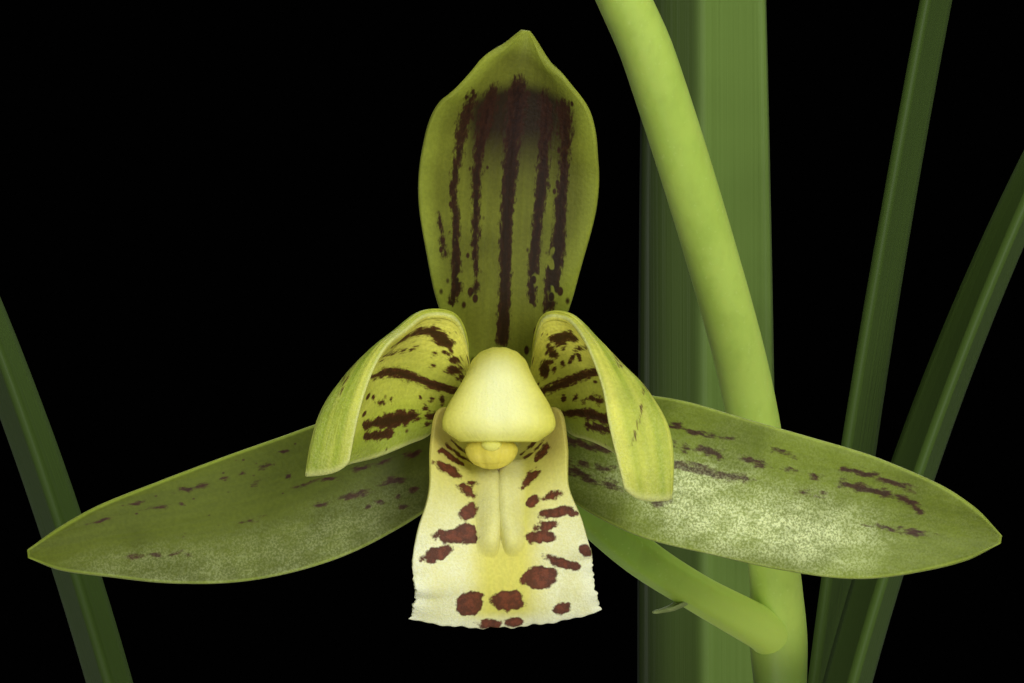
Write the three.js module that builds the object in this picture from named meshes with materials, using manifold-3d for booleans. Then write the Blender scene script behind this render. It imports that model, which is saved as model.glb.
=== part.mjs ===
// A potted Cymbidium haematodes: a clay pot, a bark mix, pseudobulbs with strap leaves, and one flower stem that carries
// four open blooms and two buds. Millimetres, +Z up. The origin is the middle of the pot's flat base.
import * as THREE from "three";
import { mergeVertices } from "three/addons/utils/BufferGeometryUtils.js";
import Module from "manifold-3d";

const wasm = await Module();
wasm.setup();

// Driving sizes

const GAP = 0.3; // clearance between two pieces that touch
const POT_HEIGHT = 165;
const POT_RIM_RADIUS = 75; // outside, at the rim
const POT_BASE_RADIUS = 53;
const POT_WALL = 6;
const POT_FLOOR = 8;
const POT_SIDES = 36;
const RIM_HEIGHT = 20;
const RIM_STEP = 5; // how far the rim band stands out of the wall
const DRAIN_HOLES = 4;
const DRAIN_RADIUS = 5.5;
const DRAIN_RING_RADIUS = 30;

const MIX_TOP = 150; // the level of the bark mix
const CHIPS = 34;
const CHIP_SIZE = [15, 10, 6];

const BULB_RADIUS = 9.5;
const BULB_HEIGHT = 29;
const BULB_SUNK = 12; // how deep a pseudobulb stands in the mix
const LEAF_HALF = 5.8;
const LEAF_THICK = 0.8;

const STEM_RADIUS = 1.95;
const TEPAL_THICK = 0.75;
const BLOOM_AT = [-17, -50, 440]; // where the nearest bloom's petals and sepals meet

// Small helpers

const vec = (p) => new THREE.Vector3(...p);
const FRONT = vec([0, -1, 0]);
const radians = (degrees) => (degrees * Math.PI) / 180;
const steps = (count) => Array.from({ length: count + 1 }, (_, i) => i / count);

// A repeatable random draw between 0 and 1.
function seeded(seed) {
  let state = seed;
  return () => {
    state = (Math.imul(state, 1664525) + 1013904223) >>> 0;
    return state / 4294967296;
  };
}

// Smooth values between stations. Each station is [share, value, value, ...], in order of share.
function along(stations, share) {
  let i = 0;
  while (i < stations.length - 2 && share > stations[i + 1][0]) i++;
  const [a, b] = [stations[i], stations[i + 1]];
  const before = stations[Math.max(i - 1, 0)];
  const after = stations[Math.min(i + 2, stations.length - 1)];
  const span = b[0] - a[0];
  const f = Math.min(Math.max((share - a[0]) / span, 0), 1);
  return a.slice(1).map((va, k) => {
    const vb = b[k + 1];
    const slopeA = ((vb - before[k + 1]) / (b[0] - before[0])) * span;
    const slopeB = ((after[k + 1] - va) / (after[0] - a[0])) * span;
    return (
      va * (1 + 2 * f) * (1 - f) ** 2 +
      slopeA * f * (1 - f) ** 2 +
      vb * f * f * (3 - 2 * f) +
      slopeB * f * f * (f - 1)
    );
  });
}

// A closed geometry from points and triangles, with its faces pointing out.
function closed(points, triangles) {
  const volume = triangles.reduce(
    (sum, [a, b, c]) =>
      sum + points[a].dot(points[b].clone().cross(points[c])) / 6,
    0,
  );
  const index =
    volume < 0 ? triangles.map(([a, b, c]) => [a, c, b]) : triangles;
  return new THREE.BufferGeometry()
    .setFromPoints(points)
    .setIndex(index.flat());
}

function toSolid(geometry) {
  const bare = geometry.clone();
  bare.deleteAttribute("normal");
  bare.deleteAttribute("uv");
  const merged = mergeVertices(bare, 1e-4);
  return new wasm.Manifold(
    new wasm.Mesh({
      numProp: 3,
      vertProperties: new Float32Array(merged.attributes.position.array),
      triVerts: new Uint32Array(merged.index.array),
    }),
  );
}

function toGeometry(solid) {
  const mesh = solid.getMesh();
  return new THREE.BufferGeometry()
    .setAttribute("position", new THREE.BufferAttribute(mesh.vertProperties, 3))
    .setIndex(new THREE.BufferAttribute(mesh.triVerts, 1));
}

// The biggest body of a solid, without the slivers that a cut leaves.
const largest = (solid) => solid.decompose().reduce((a, b) => (b.volume() > a.volume() ? b : a));

const join = (...geometries) =>
  toGeometry(geometries.map(toSolid).reduce((a, b) => a.add(b)));
const cut = (geometry, ...tools) =>
  toGeometry(largest(tools.map(toSolid).reduce((a, b) => a.subtract(b), toSolid(geometry))));
const inside = (geometry, room) => toGeometry(largest(toSolid(geometry).intersect(toSolid(room))));
const mirrored = (geometry) => {
  const points = [];
  const at = geometry.attributes.position;
  for (let i = 0; i < at.count; i++)
    points.push(new THREE.Vector3(-at.getX(i), at.getY(i), at.getZ(i)));
  const index = geometry.index.array;
  const triangles = [];
  for (let i = 0; i < index.length; i += 3)
    triangles.push([index[i], index[i + 1], index[i + 2]]);
  return closed(points, triangles);
};

// The axes of a section: the way the line runs, the way the face looks, and the way the width runs.
function axesAt(stations, share, face, roll = 0) {
  const step = 0.01;
  const from = along(stations, Math.max(share - step, 0));
  const to = along(stations, Math.min(share + step, 1));
  const way = vec(to.slice(0, 3)).sub(vec(from.slice(0, 3))).normalize();
  const look = face.clone().addScaledVector(way, -face.dot(way)).normalize();
  look.applyAxisAngle(way, radians(roll));
  return { way, look, wide: way.clone().cross(look) };
}

// A thin blade. Each station is [share, x, y, z, half width, roll, curl low, curl high]: each half of a section starts at
// the midrib with the angle fold and turns by its curl on the way to its margin, both towards the face.
function blade({ stations, face, thick, rows, cols, fold = 0, blunt = 0, wave = 0, waves = 5 }) {
  const grid = steps(rows).map((row) =>
    steps(cols).map((col) => {
      const u = 2 * col - 1;
      const share = row * (1 - blunt * u * u);
      const [x, y, z, half, roll, low, high] = along(stations, share);
      const { look, wide } = axesAt(stations, share, face, roll);
      const reach = Math.abs(u) * half;
      const turn = radians(u < 0 ? low : high) / Math.max(half, 0.1);
      const foldAt = radians(typeof fold === "function" ? fold(share) : fold);
      let across = reach;
      let out = 0;
      if (Math.abs(turn) > 1e-4) {
        across = Math.sin(turn * reach) / turn;
        out = (1 - Math.cos(turn * reach)) / turn;
      }
      const side = across * Math.cos(foldAt) - out * Math.sin(foldAt);
      const rise = across * Math.sin(foldAt) + out * Math.cos(foldAt);
      const ripple = wave * u * u * Math.sin(share * waves * 2 * Math.PI + (u < 0 ? 0 : 2));
      return vec([x, y, z])
        .addScaledVector(wide, Math.sign(u) * side)
        .addScaledVector(look, rise + ripple);
    }),
  );
  return thickened(grid, thick);
}

// A sheet through rows of points, each row across it, smooth both ways.
function patch({ lines, thick, rows, cols, blunt }) {
  const share = (i, list) => i / (list.length - 1);
  const grid = steps(rows).map((row) => {
    const point = (col) => {
      const down = row * (1 - blunt * (2 * col - 1) ** 2);
      const across = lines[0].map((_, k) => along(lines.map((line, i) => [share(i, lines), ...line[k]]), down));
      return vec(along(across.map((p, k) => [share(k, across), ...p]), col));
    };
    return steps(cols).map(point);
  });
  return thickened(grid, thick);
}

// Both faces of a sheet and its rim, with the same diagonals on both faces.
function thickened(grid, thick) {
  const [rows, cols] = [grid.length, grid[0].length];
  const at = (i, j) =>
    grid[Math.min(Math.max(i, 0), rows - 1)][Math.min(Math.max(j, 0), cols - 1)];
  const faces = [[], []];
  grid.forEach((line, i) =>
    line.forEach((p, j) => {
      const run = at(i + 1, j).clone().sub(at(i - 1, j));
      const span = at(i, j + 1).clone().sub(at(i, j - 1));
      const normal = run.cross(span).normalize();
      faces[0].push(p.clone().addScaledVector(normal, thick / 2));
      faces[1].push(p.clone().addScaledVector(normal, -thick / 2));
    }),
  );
  const back = faces[0].length;
  const triangles = [];
  for (let i = 0; i < rows - 1; i++)
    for (let j = 0; j < cols - 1; j++) {
      const [a, b, c, d] = [i * cols + j, i * cols + j + 1, (i + 1) * cols + j + 1, (i + 1) * cols + j];
      triangles.push([a, b, c], [a, c, d]);
      triangles.push([a + back, c + back, b + back], [a + back, d + back, c + back]);
    }
  const rim = [];
  for (let j = 0; j < cols; j++) rim.push(j);
  for (let i = 1; i < rows; i++) rim.push(i * cols + cols - 1);
  for (let j = cols - 2; j >= 0; j--) rim.push((rows - 1) * cols + j);
  for (let i = rows - 2; i > 0; i--) rim.push(i * cols);
  rim.forEach((a, k) => {
    const b = rim[(k + 1) % rim.length];
    triangles.push([a, a + back, b], [b, a + back, b + back]);
  });
  return closed([...faces[0], ...faces[1]], triangles);
}

// A solid drawn along a line. Each station is [share, x, y, z, half width, half depth].
function loft({ stations, face, rings, sides, shares = steps(rings) }) {
  const points = [];
  const triangles = [];
  const last = shares.length - 1;
  shares.forEach((share) => {
    const [x, y, z, half, depth] = along(stations, share);
    const { look, wide } = axesAt(stations, share, face);
    for (let k = 0; k < sides; k++) {
      const angle = (2 * Math.PI * k) / sides;
      points.push(
        vec([x, y, z])
          .addScaledVector(wide, half * Math.cos(angle))
          .addScaledVector(look, depth * Math.sin(angle)),
      );
    }
  });
  for (let i = 0; i < last; i++)
    for (let k = 0; k < sides; k++) {
      const next = (k + 1) % sides;
      const [a, b] = [i * sides + k, i * sides + next];
      triangles.push([a, b, b + sides], [a, b + sides, a + sides]);
    }
  const [foot, top] = [points.length, points.length + 1];
  points.push(vec(along(stations, 0).slice(0, 3)), vec(along(stations, 1).slice(0, 3)));
  for (let k = 0; k < sides; k++) {
    const next = (k + 1) % sides;
    triangles.push([foot, next, k], [top, last * sides + k, last * sides + next]);
  }
  return closed(points, triangles);
}

// Stations of a tube through some points, with one radius or a radius at each point.
function tubeStations(points, radius) {
  const lengths = [0];
  points.slice(1).forEach((p, i) => lengths.push(lengths[i] + vec(p).distanceTo(vec(points[i]))));
  return points.map((p, i) => {
    const r = Array.isArray(radius) ? radius[i] : radius;
    return [lengths[i] / lengths.at(-1), ...p, r, r];
  });
}

// Materials

const finish = (color, roughness) =>
  new THREE.MeshStandardMaterial({ color, roughness, metalness: 0 });
const CLAY = finish(0xa9623f, 0.9);
const BARK = finish(0x5b3f2a, 0.95);
const BULB = finish(0x7d8a45, 0.6);
const LEAF = finish(0x3f6b25, 0.45);
const STEM = finish(0x8fae4a, 0.5);
const SEPAL = finish(0x8f9c3c, 0.5);
const PETAL = finish(0xb5bd4c, 0.5);
const LIP = finish(0xe6dc9a, 0.5);
const COLUMN = finish(0xe9e07c, 0.45);
const ANTHER = finish(0xe0cf55, 0.4);

const plant = new THREE.Group();

function add(name, geometry, material, parent = plant) {
  const mesh = new THREE.Mesh(geometry, material);
  mesh.name = name;
  parent.add(mesh);
  return mesh;
}

// The clay pot

const wallRadius = (z) =>
  POT_BASE_RADIUS + ((POT_RIM_RADIUS - RIM_STEP - POT_BASE_RADIUS) * z) / POT_HEIGHT;

function pot() {
  const profile = [
    [0, 0],
    [POT_BASE_RADIUS - 2, 0],
    [wallRadius(2), 2],
    [wallRadius(POT_HEIGHT - RIM_HEIGHT), POT_HEIGHT - RIM_HEIGHT],
    [POT_RIM_RADIUS - 1, POT_HEIGHT - RIM_HEIGHT + 1],
    [POT_RIM_RADIUS, POT_HEIGHT - 3],
    [POT_RIM_RADIUS - 2, POT_HEIGHT],
    [wallRadius(POT_HEIGHT) - POT_WALL + 1.5, POT_HEIGHT],
    [wallRadius(POT_HEIGHT - 3) - POT_WALL, POT_HEIGHT - 3],
    [wallRadius(POT_FLOOR + 4) - POT_WALL, POT_FLOOR + 4],
    [wallRadius(POT_FLOOR) - POT_WALL - 4, POT_FLOOR],
    [0, POT_FLOOR],
  ].map(([r, z]) => new THREE.Vector2(r, z));
  const body = new THREE.LatheGeometry(profile, POT_SIDES).rotateX(Math.PI / 2);
  const holes = steps(DRAIN_HOLES - 1).map((_, i) => {
    const angle = (2 * Math.PI * (i + 0.5)) / DRAIN_HOLES;
    return new THREE.CylinderGeometry(DRAIN_RADIUS, DRAIN_RADIUS, 3 * POT_FLOOR, 12)
      .rotateX(Math.PI / 2)
      .translate(DRAIN_RING_RADIUS * Math.cos(angle), DRAIN_RING_RADIUS * Math.sin(angle), POT_FLOOR / 2);
  });
  return cut(body, ...holes);
}
add("clay_pot", pot(), CLAY);

// Pseudobulbs. Each entry gives the place of one on the mix and the way its fan of leaves runs, in degrees.

const BULBS = [
  { at: [-36.5, 12], fan: 172 },
  { at: [-15, -10], fan: 200 },
  { at: [1.6, 22], fan: 0 },
  { at: [16, 2], fan: -12 },
  { at: [37, 16], fan: 20 },
];

function bulb({ at: [x, y] }, spare = 0) {
  const foot = MIX_TOP - BULB_SUNK;
  const shape = [
    [0, 0.35],
    [0.1, 0.72],
    [0.3, 1],
    [0.5, 0.96],
    [0.75, 0.66],
    [0.9, 0.52],
    [1, 0.44],
  ];
  const stations = shape.map(([share, wide]) => {
    const r = wide * BULB_RADIUS + spare;
    return [share, x, y, foot + share * BULB_HEIGHT + (share - 0.5) * 2 * spare, r, r];
  });
  return loft({ stations, face: vec([0, 1, 0]), rings: 7, sides: 9 });
}

// A short dry scale leaf at each end of a fan, fused to its pseudobulb.
function scales({ at: [x, y], fan }) {
  return [0, 180].map((turn, i) => {
    const a = radians(fan + turn);
    const way = [Math.cos(a), Math.sin(a)];
    const spot = (out, up) => [x + out * way[0], y + out * way[1], MIX_TOP + up];
    const stations = [
      [0, ...spot(8, 4), 4.6, 0, 42, 42],
      [0.3, ...spot(9.2, 8), 5.2, 0, 46, 46],
      [0.65, ...spot(10.8, 16 + 2 * i), 3.8, 0, 40, 40],
      [1, ...spot(14.2, 27 + 6 * i), 0.4, 0, 10, 10],
    ];
    return blade({ stations, face: vec([-way[0], -way[1], 1]), thick: 1, rows: 4, cols: 2 });
  });
}

// The flower stem. Places near the blooms are given from the nearest bloom's middle.

const fromBloom = (x, y, z) => [BLOOM_AT[0] + x, BLOOM_AT[1] + y, BLOOM_AT[2] + z];
const NODES = [
  fromBloom(21.3, 28, -18.7),
  fromBloom(7.4, 8.4, 33.6),
  fromBloom(9.6, 5, 74),
  fromBloom(5.4, 2.6, 106),
  fromBloom(7.4, 1, 128),
];
const STEM_TIP = fromBloom(6.2, 0.6, 146);
const STEM_LINE = [
  [9, -16, MIX_TOP - BULB_SUNK],
  [9.2, -17, 200],
  [8.6, -19, 260],
  [6.6, -21, 330],
  fromBloom(22.6, 28.6, -50),
  NODES[0],
  fromBloom(20.9, 26.4, -13.3),
  fromBloom(18.7, 21, -0.3),
  fromBloom(15.4, 16.5, 11.3),
  fromBloom(10.9, 11.2, 24.6),
  NODES[1],
  fromBloom(7.6, 6.4, 52),
  NODES[2],
  NODES[3],
  NODES[4],
  STEM_TIP,
];
const STEM_RADII = STEM_LINE.map((_, i) => STEM_RADIUS + 0.1 * Math.max(0, 4 - i) - 0.14 * Math.max(0, i - 9));
const SHEATHS = [
  [0.05, 0.13],
  [0.17, 0.25],
  [0.3, 0.38],
];

// Its lower part is nearly straight, so most of its rings are higher up.
const STEM_SHARES = [...steps(8).map((f) => f * 0.52), ...steps(26).slice(1).map((f) => 0.52 + f * 0.48)];

function stemLoft(spare = 0) {
  const stations = tubeStations(STEM_LINE, STEM_RADII.map((r) => r + spare));
  return loft({ stations, face: FRONT, shares: STEM_SHARES, sides: 8 });
}

// A sheath wraps the stem and ends in a short free tip.
function sheath([low, high], side) {
  const stations = tubeStations(STEM_LINE, STEM_RADII);
  const spot = (share) => along(stations, share);
  const line = [0, 0.4, 0.8, 1].map((f) => {
    const [x, y, z, r] = spot(low + (high - low) * f);
    const wide = [0.35, 0.6, 0.5, 0.1][Math.round(f * 2.6)];
    const off = f < 0.9 ? 0.12 * side : 1.5 * side;
    return [f, x + off, y, z, f < 0.9 ? r + wide : 1, f < 0.9 ? r + wide : 0.5];
  });
  return loft({ stations: line, face: FRONT, rings: 5, sides: 8 });
}

const stem = join(stemLoft(), ...SHEATHS.map((span, i) => sheath(span, i % 2 ? 1 : -1)));
const stemRoom = toSolid(stemLoft(GAP));
add("flower_stem", stem, STEM);

// Blooms. In a bloom's own frame it faces -Y with +Z up, and its petals and sepals meet at the origin.
// Stations run from the base to the tip: [share, x, y, z, half width, roll, curl low, curl high].

const DORSAL_SEPAL = [
  [0, 0.1, 6.6, 0.6, 1.4, 0, 5, 5],
  [0.1, 0.15, 5.3, 3.3, 3, 0, 12, 12],
  [0.22, 0.3, 4, 6.4, 4.55, 0, 16, 16],
  [0.37, 0.4, 2.9, 9.9, 5.5, 0, 18, 18],
  [0.54, 0.6, 1.9, 14, 6.35, 0, 20, 20],
  [0.69, 0.85, 0.9, 17.5, 6.35, 0, 26, 26],
  [0.83, 1.35, -0.5, 21, 5.5, 0, 38, 38],
  [0.93, 1.75, -1.9, 23.6, 3.2, 0, 50, 50],
  [1, 1.9, -2.9, 25.5, 0.3, 0, 20, 20],
];
// The right sepal and petal are given for the left side and mirrored.
const LEFT_SEPAL = [
  [0, -1, 6.9, -1.4, 1.4, 0, 5, 5],
  [0.08, -4, 5.4, -2.7, 3, 0, 8, 8],
  [0.16, -6.6, 4.2, -4.2, 3.9, 0, 12, 12],
  [0.28, -10.3, 3.5, -5.7, 4.6, 0, 14, 14],
  [0.4, -13.9, 3.2, -7.1, 4.75, 0, 14, 14],
  [0.55, -18.4, 3.1, -8.4, 4.5, 0, 14, 14],
  [0.7, -22.9, 3.4, -9.3, 3.8, 0, 18, 18],
  [0.84, -27.6, 4, -10, 2.7, 0, 24, 24],
  [0.94, -31.2, 4.4, -10.7, 1.5, 0, 24, 24],
  [1, -33.5, 4.6, -11, 0.3, 0, 10, 10],
];
const RIGHT_SEPAL = [
  [0, -1, 6.9, -1.4, 1.4, 0, 5, 5],
  [0.08, -4.3, 5.3, -2.7, 3.1, 0, 8, 8],
  [0.17, -7.3, 4.2, -3.7, 4.3, 0, 12, 12],
  [0.3, -11.5, 3.1, -4.9, 5.05, 0, 14, 14],
  [0.45, -16.4, 2.7, -6.2, 4.95, 0, 12, 12],
  [0.6, -21.2, 2.7, -7.4, 4.8, 0, 12, 12],
  [0.74, -25.8, 3, -8.35, 4.4, 0, 16, 16],
  [0.87, -30.3, 3.4, -9, 3.25, 0, 26, 26],
  [0.95, -33.4, 3.8, -9.55, 1.9, 0, 30, 30],
  [1, -35.6, 4, -9.95, 0.3, 0, 10, 10],
];

// A petal arches forward and its upper part folds down in front. Each row runs across it, from the lower margin over
// the midrib and the fold to the upper margin.
const LEFT_PETAL = [
  [[-2.6, 5, -0.9], [-2.4, 5.1, -0.1], [-2.2, 5.1, 0.5], [-2, 4.9, 1]],
  [[-4.2, 3.8, -1.7], [-3.2, 3.2, 0.9], [-2.6, 2.4, 3.2], [-2.2, 1.7, 4.1]],
  [[-5.1, 2, -2.6], [-4.6, 1.6, 1.3], [-3.7, 0.2, 5], [-2.8, -0.6, 5.6]],
  [[-6.3, 1, -3.1], [-6.2, 0.2, 1.9], [-5.6, -1.6, 5.3], [-4.7, -2.4, 5.8]],
  [[-7.5, 0, -3.6], [-7.4, -1.2, 2.2], [-7.4, -3.4, 4.2], [-6.4, -4.4, 4.9]],
  [[-8.6, -1.2, -4], [-8.6, -2.8, 1.9], [-8.9, -5, 3], [-7.6, -6.2, 3.9]],
  [[-9.5, -2.8, -4.2], [-9.8, -4.6, 0.5], [-10.4, -6.4, 1.4], [-8.6, -7.6, 2.1]],
  [[-10.4, -4.6, -4.5], [-11.1, -6.2, -1.6], [-11.9, -7.4, -1], [-9.5, -8.6, -0.8]],
  [[-10.9, -6, -5.2], [-12, -7, -5.4], [-13, -7.8, -5], [-10, -8.9, -4.5]],
];
const RIGHT_PETAL = [
  [[-2.7, 5, -0.9], [-2.5, 5.1, -0.1], [-2.3, 5.1, 0.5], [-2.1, 4.9, 1]],
  [[-4.3, 3.8, -1.7], [-3.3, 3.2, 0.7], [-2.7, 2.4, 3.1], [-2.4, 1.7, 4]],
  [[-5.2, 2, -2.5], [-4.5, 1.6, 1.1], [-3.6, 0.2, 4.9], [-2.9, -0.6, 5.6]],
  [[-6.2, 1, -2.8], [-5.7, 0.2, 1.5], [-5.2, -1.6, 5], [-4.3, -2.4, 5.5]],
  [[-7.2, 0, -3.2], [-6.8, -1.4, 1.8], [-6.8, -3.4, 3.8], [-5.6, -4.4, 4.7]],
  [[-8.1, -1.6, -3.7], [-8.2, -3, 1.3], [-8.4, -5, 2.2], [-6.4, -6.2, 3]],
  [[-8.8, -3.4, -4.4], [-9.4, -4.8, -0.2], [-9.9, -6.4, 0.5], [-7.1, -7.6, 0.8]],
  [[-9.5, -5, -5.4], [-10.5, -6.4, -2.6], [-11.3, -7.4, -2.3], [-7.6, -8.6, -2]],
  [[-9.7, -6.2, -6.9], [-10.8, -7.2, -7.2], [-11.8, -7.8, -6.8], [-8.4, -8.9, -6.7]],
];
const LIP_FACE = vec([0, -1, 1]);
const LIP_STATIONS = [
  [0, 0, 5.8, -2.5, 1.4, 0, 50, 50],
  [0.08, 0, 2.6, -3.7, 4.2, 0, 92, 92],
  [0.2, 0, 0.4, -4.4, 6.3, 0, 90, 90],
  [0.34, 0, -1.9, -5.2, 5.9, 0, 62, 62],
  [0.45, 0, -3.6, -6.7, 5.2, 0, 34, 34],
  [0.57, 0.1, -4.6, -8.7, 5.7, 0, 16, 16],
  [0.7, 0.2, -5, -10.9, 6.2, 0, 8, 8],
  [0.85, 0.4, -4.9, -13, 6.2, 0, 4, 4],
  [1, 0.5, -4.3, -15.6, 6.8, 0, 0, 0],
];
const COLUMN_STATIONS = [
  [0, 0, 5.8, -0.4, 1.3, 0.9],
  [0.2, 0, 2.6, 1.1, 1.7, 1.2],
  [0.4, 0, -0.6, 2.1, 2.3, 1.6],
  [0.6, 0, -3, 1.2, 3.2, 1.8],
  [0.78, 0, -4.3, -0.5, 3.85, 1.5],
  [0.92, 0, -4.9, -1.9, 3.8, 1.3],
  [1, 0, -5, -2.8, 2.6, 0.9],
];
const ANTHER_LOBES = [-1.35, 0.35]; // their places across the column's end
const OVARY_LINE = [
  [0, 5.4, -0.3],
  [0.1, 6.2, -0.6],
  [0.3, 7.2, -1],
  [0.9, 8.6, -2],
  [3.4, 10.4, -4.8],
  [6.6, 13.4, -8.3],
  [10.4, 17.6, -11.8],
  [15, 22, -14.9],
  [20.4, 26.6, -18],
];
const OVARY_RADII = [1.5, 2.1, 2.1, 1.75, 1.65, 1.65, 1.6, 1.5, 1.8];

function keel(side) {
  const stations = [
    [0, side * 0.75, -1.5, -4.5, 0.5, 0.3],
    [0.25, side * 0.7, -3.8, -5.6, 0.65, 0.9],
    [0.6, side * 0.75, -5.6, -8.3, 0.7, 0.9],
    [0.85, side * 1.05, -5.9, -10.2, 0.65, 0.7],
    [1, side * 1.15, -5.6, -11, 0.3, 0.25],
  ];
  return loft({ stations, face: LIP_FACE, rings: 6, sides: 6 });
}

function antherLobe(x) {
  const stations = [
    [0, x, -3.7, -3.1, 0.6, 0.4],
    [0.35, x, -4, -3.5, 1, 0.8],
    [0.7, x, -4.1, -4, 1, 0.8],
    [1, x, -4.1, -4.5, 0.4, 0.3],
  ];
  return loft({ stations, face: FRONT, rings: 4, sides: 6 });
}

// The five blades, the lip with its two keels, the column and the anther cap of one bloom.
function bloomPieces(rows, cols) {
  const sepal = (stations) => blade({ stations, face: FRONT, thick: TEPAL_THICK, rows, cols });
  const petal = (lines) => patch({ lines, thick: TEPAL_THICK, rows: rows + 1, cols: cols + 2, blunt: 0.05 });
  const lip = blade({
    stations: LIP_STATIONS,
    face: LIP_FACE,
    thick: TEPAL_THICK,
    rows: rows + 2,
    cols: cols + 3,
    blunt: 0.05,
  });
  return {
    sepal_dorsal: sepal(DORSAL_SEPAL),
    sepal_left: sepal(LEFT_SEPAL),
    sepal_right: mirrored(sepal(RIGHT_SEPAL)),
    petal_left: petal(LEFT_PETAL),
    petal_right: mirrored(petal(RIGHT_PETAL)),
    lip: join(lip, keel(-1), keel(1)),
    column: loft({ stations: COLUMN_STATIONS, face: vec([0, -1, 1]), rings: rows - 2, sides: rows > 10 ? 12 : 8 }),
    anther_cap: join(...ANTHER_LOBES.map(antherLobe)),
  };
}

function ovary(line, radii, spare = 0) {
  const [[x, y, z], ...rest] = line;
  const stations = tubeStations([[x, y - spare, z], ...rest], radii.map((r) => r + spare));
  return loft({ stations, face: FRONT, rings: 14, sides: 8 });
}

// A narrow bract under an ovary, from its foot at the stem.
function bract(foot, tip) {
  const middle = foot.map((v, i) => (v + tip[i]) / 2 - (i === 2 ? 0.4 : 0));
  const stations = [
    [0, ...foot, 1.3, 0.5],
    [0.5, ...middle, 1, 0.4],
    [1, ...tip, 0.25, 0.25],
  ];
  return loft({ stations, face: vec([0, 0, 1]), rings: 4, sides: 6 });
}

function placed(center, heading) {
  const group = new THREE.Group();
  group.position.set(...center);
  group.rotation.z = radians(heading);
  group.updateMatrixWorld(true);
  plant.add(group);
  return group;
}
const local = (group, p) => group.worldToLocal(vec(p)).toArray();
const offStem = (group, geometry) => {
  const room = toGeometry(stemRoom).applyMatrix4(group.matrixWorld.clone().invert());
  return cut(geometry, room);
};

// The nearest bloom, with every blade its own piece.
function firstBloom() {
  const group = placed(BLOOM_AT, 0);
  const room = ovary(OVARY_LINE, OVARY_RADII, GAP);
  const pieces = bloomPieces(12, 6);
  const material = { sepal: SEPAL, petal: PETAL, lip: LIP, column: COLUMN, anther: ANTHER };
  Object.entries(pieces).forEach(([name, geometry]) => {
    const seated = name === "anther_cap" ? cut(geometry, loft({
      stations: COLUMN_STATIONS.map(([s, x, y, z, a, b]) => [s, x, y, z, a + GAP, b + GAP]),
      face: vec([0, -1, 1]),
      rings: 10,
      sides: 12,
    })) : cut(geometry, room);
    add(`bloom1_${name}`, seated, material[name.split("_")[0]], group);
  });
  const stalk = join(
    ovary(OVARY_LINE, OVARY_RADII),
    bract([17.2, 23.9, -17], [12.2, 19.6, -16.5]),
  );
  add("bloom1_ovary", offStem(group, stalk), STEM, group);
}
firstBloom();

// The blooms further up the stem: blades and ovary in one, the lip, and the column with its cap.
const UPPER_BLOOMS = [
  { node: NODES[1], out: [22, 19], heading: 158 },
  { node: NODES[2], out: [21, 20], heading: -64 },
];

function upperBloom({ node, out: [reach, up], heading }, number) {
  const a = radians(heading);
  const center = [node[0] + reach * Math.sin(a), node[1] - reach * Math.cos(a), node[2] + up];
  const group = placed(center, heading);
  const foot = local(group, node);
  const partWay = (f, drop) => foot.map((v, i) => v * f - (i === 2 ? drop : 0));
  const line = [...OVARY_LINE.slice(0, 4), partWay(0.62, 2), foot];
  const stalk = ovary(line, [1.5, 2.1, 2.1, 1.75, 1.5, 1.4]);
  const pieces = bloomPieces(6, 4);
  const blades = Object.keys(pieces).filter((name) => /sepal|petal/.test(name));
  const hub = (spare) => new THREE.SphereGeometry(2.7 + spare, 8, 6).translate(0, 5.4, -0.2);
  const leafy = bract(partWay(0.84, 0.9), partWay(0.62, 4.4));
  const tepals = join(stalk, hub(0), leafy, ...blades.map((name) => pieces[name]));
  const cap = pieces.anther_cap.translate(0, -0.6, 0.8);
  add(`bloom${number}_tepals`, offStem(group, tepals), SEPAL, group);
  add(`bloom${number}_lip`, cut(pieces.lip, hub(GAP)), LIP, group);
  add(`bloom${number}_column`, cut(join(pieces.column, cap), hub(GAP)), COLUMN, group);
}
UPPER_BLOOMS.forEach((spec, i) => upperBloom(spec, i + 2));

// Buds, each with its own stalk and bract.
const BUDS = [
  { node: NODES[3], out: [11, 17], heading: 95, size: 1 },
  { node: NODES[4], out: [8, 15], heading: -110, size: 0.85 },
  { node: STEM_TIP, out: [2.5, 15], heading: 20, size: 0.7 },
];

function bud({ node, out: [reach, up], heading, size }, number) {
  const a = radians(heading);
  const way = (f, g) => [node[0] + f * Math.sin(a), node[1] - f * Math.cos(a), node[2] + g];
  const tip = [reach + 5 * size, up + 9 * size];
  const stations = [
    [0, ...way(0.4, 0), 1.2, 1.2],
    [0.25, ...way(reach * 0.45, up * 0.4), 1.1, 1.1],
    [0.48, ...way(reach * 0.85, up * 0.8), 1.5 * size, 1.5 * size],
    [0.6, ...way(reach, up), 3 * size, 2.9 * size],
    [0.8, ...way(reach + 2.4 * size, up + 5 * size), 3 * size, 2.8 * size],
    [1, ...way(...tip), 0.5, 0.5],
  ];
  const body = loft({ stations, face: FRONT, rings: 12, sides: 8 });
  const leafy = bract(way(0.8, -0.8), way(5.5, 6.5));
  add(`bud_${number}`, cut(join(body, leafy), stemLoft(GAP)), SEPAL);
}
BUDS.forEach((spec, i) => bud(spec, i + 1));

// Leaves. Each one leaves its pseudobulb's top and leans further out towards its tip: the bearing and the two leans are
// in degrees, the first lean at the foot and the second at the tip.

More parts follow.
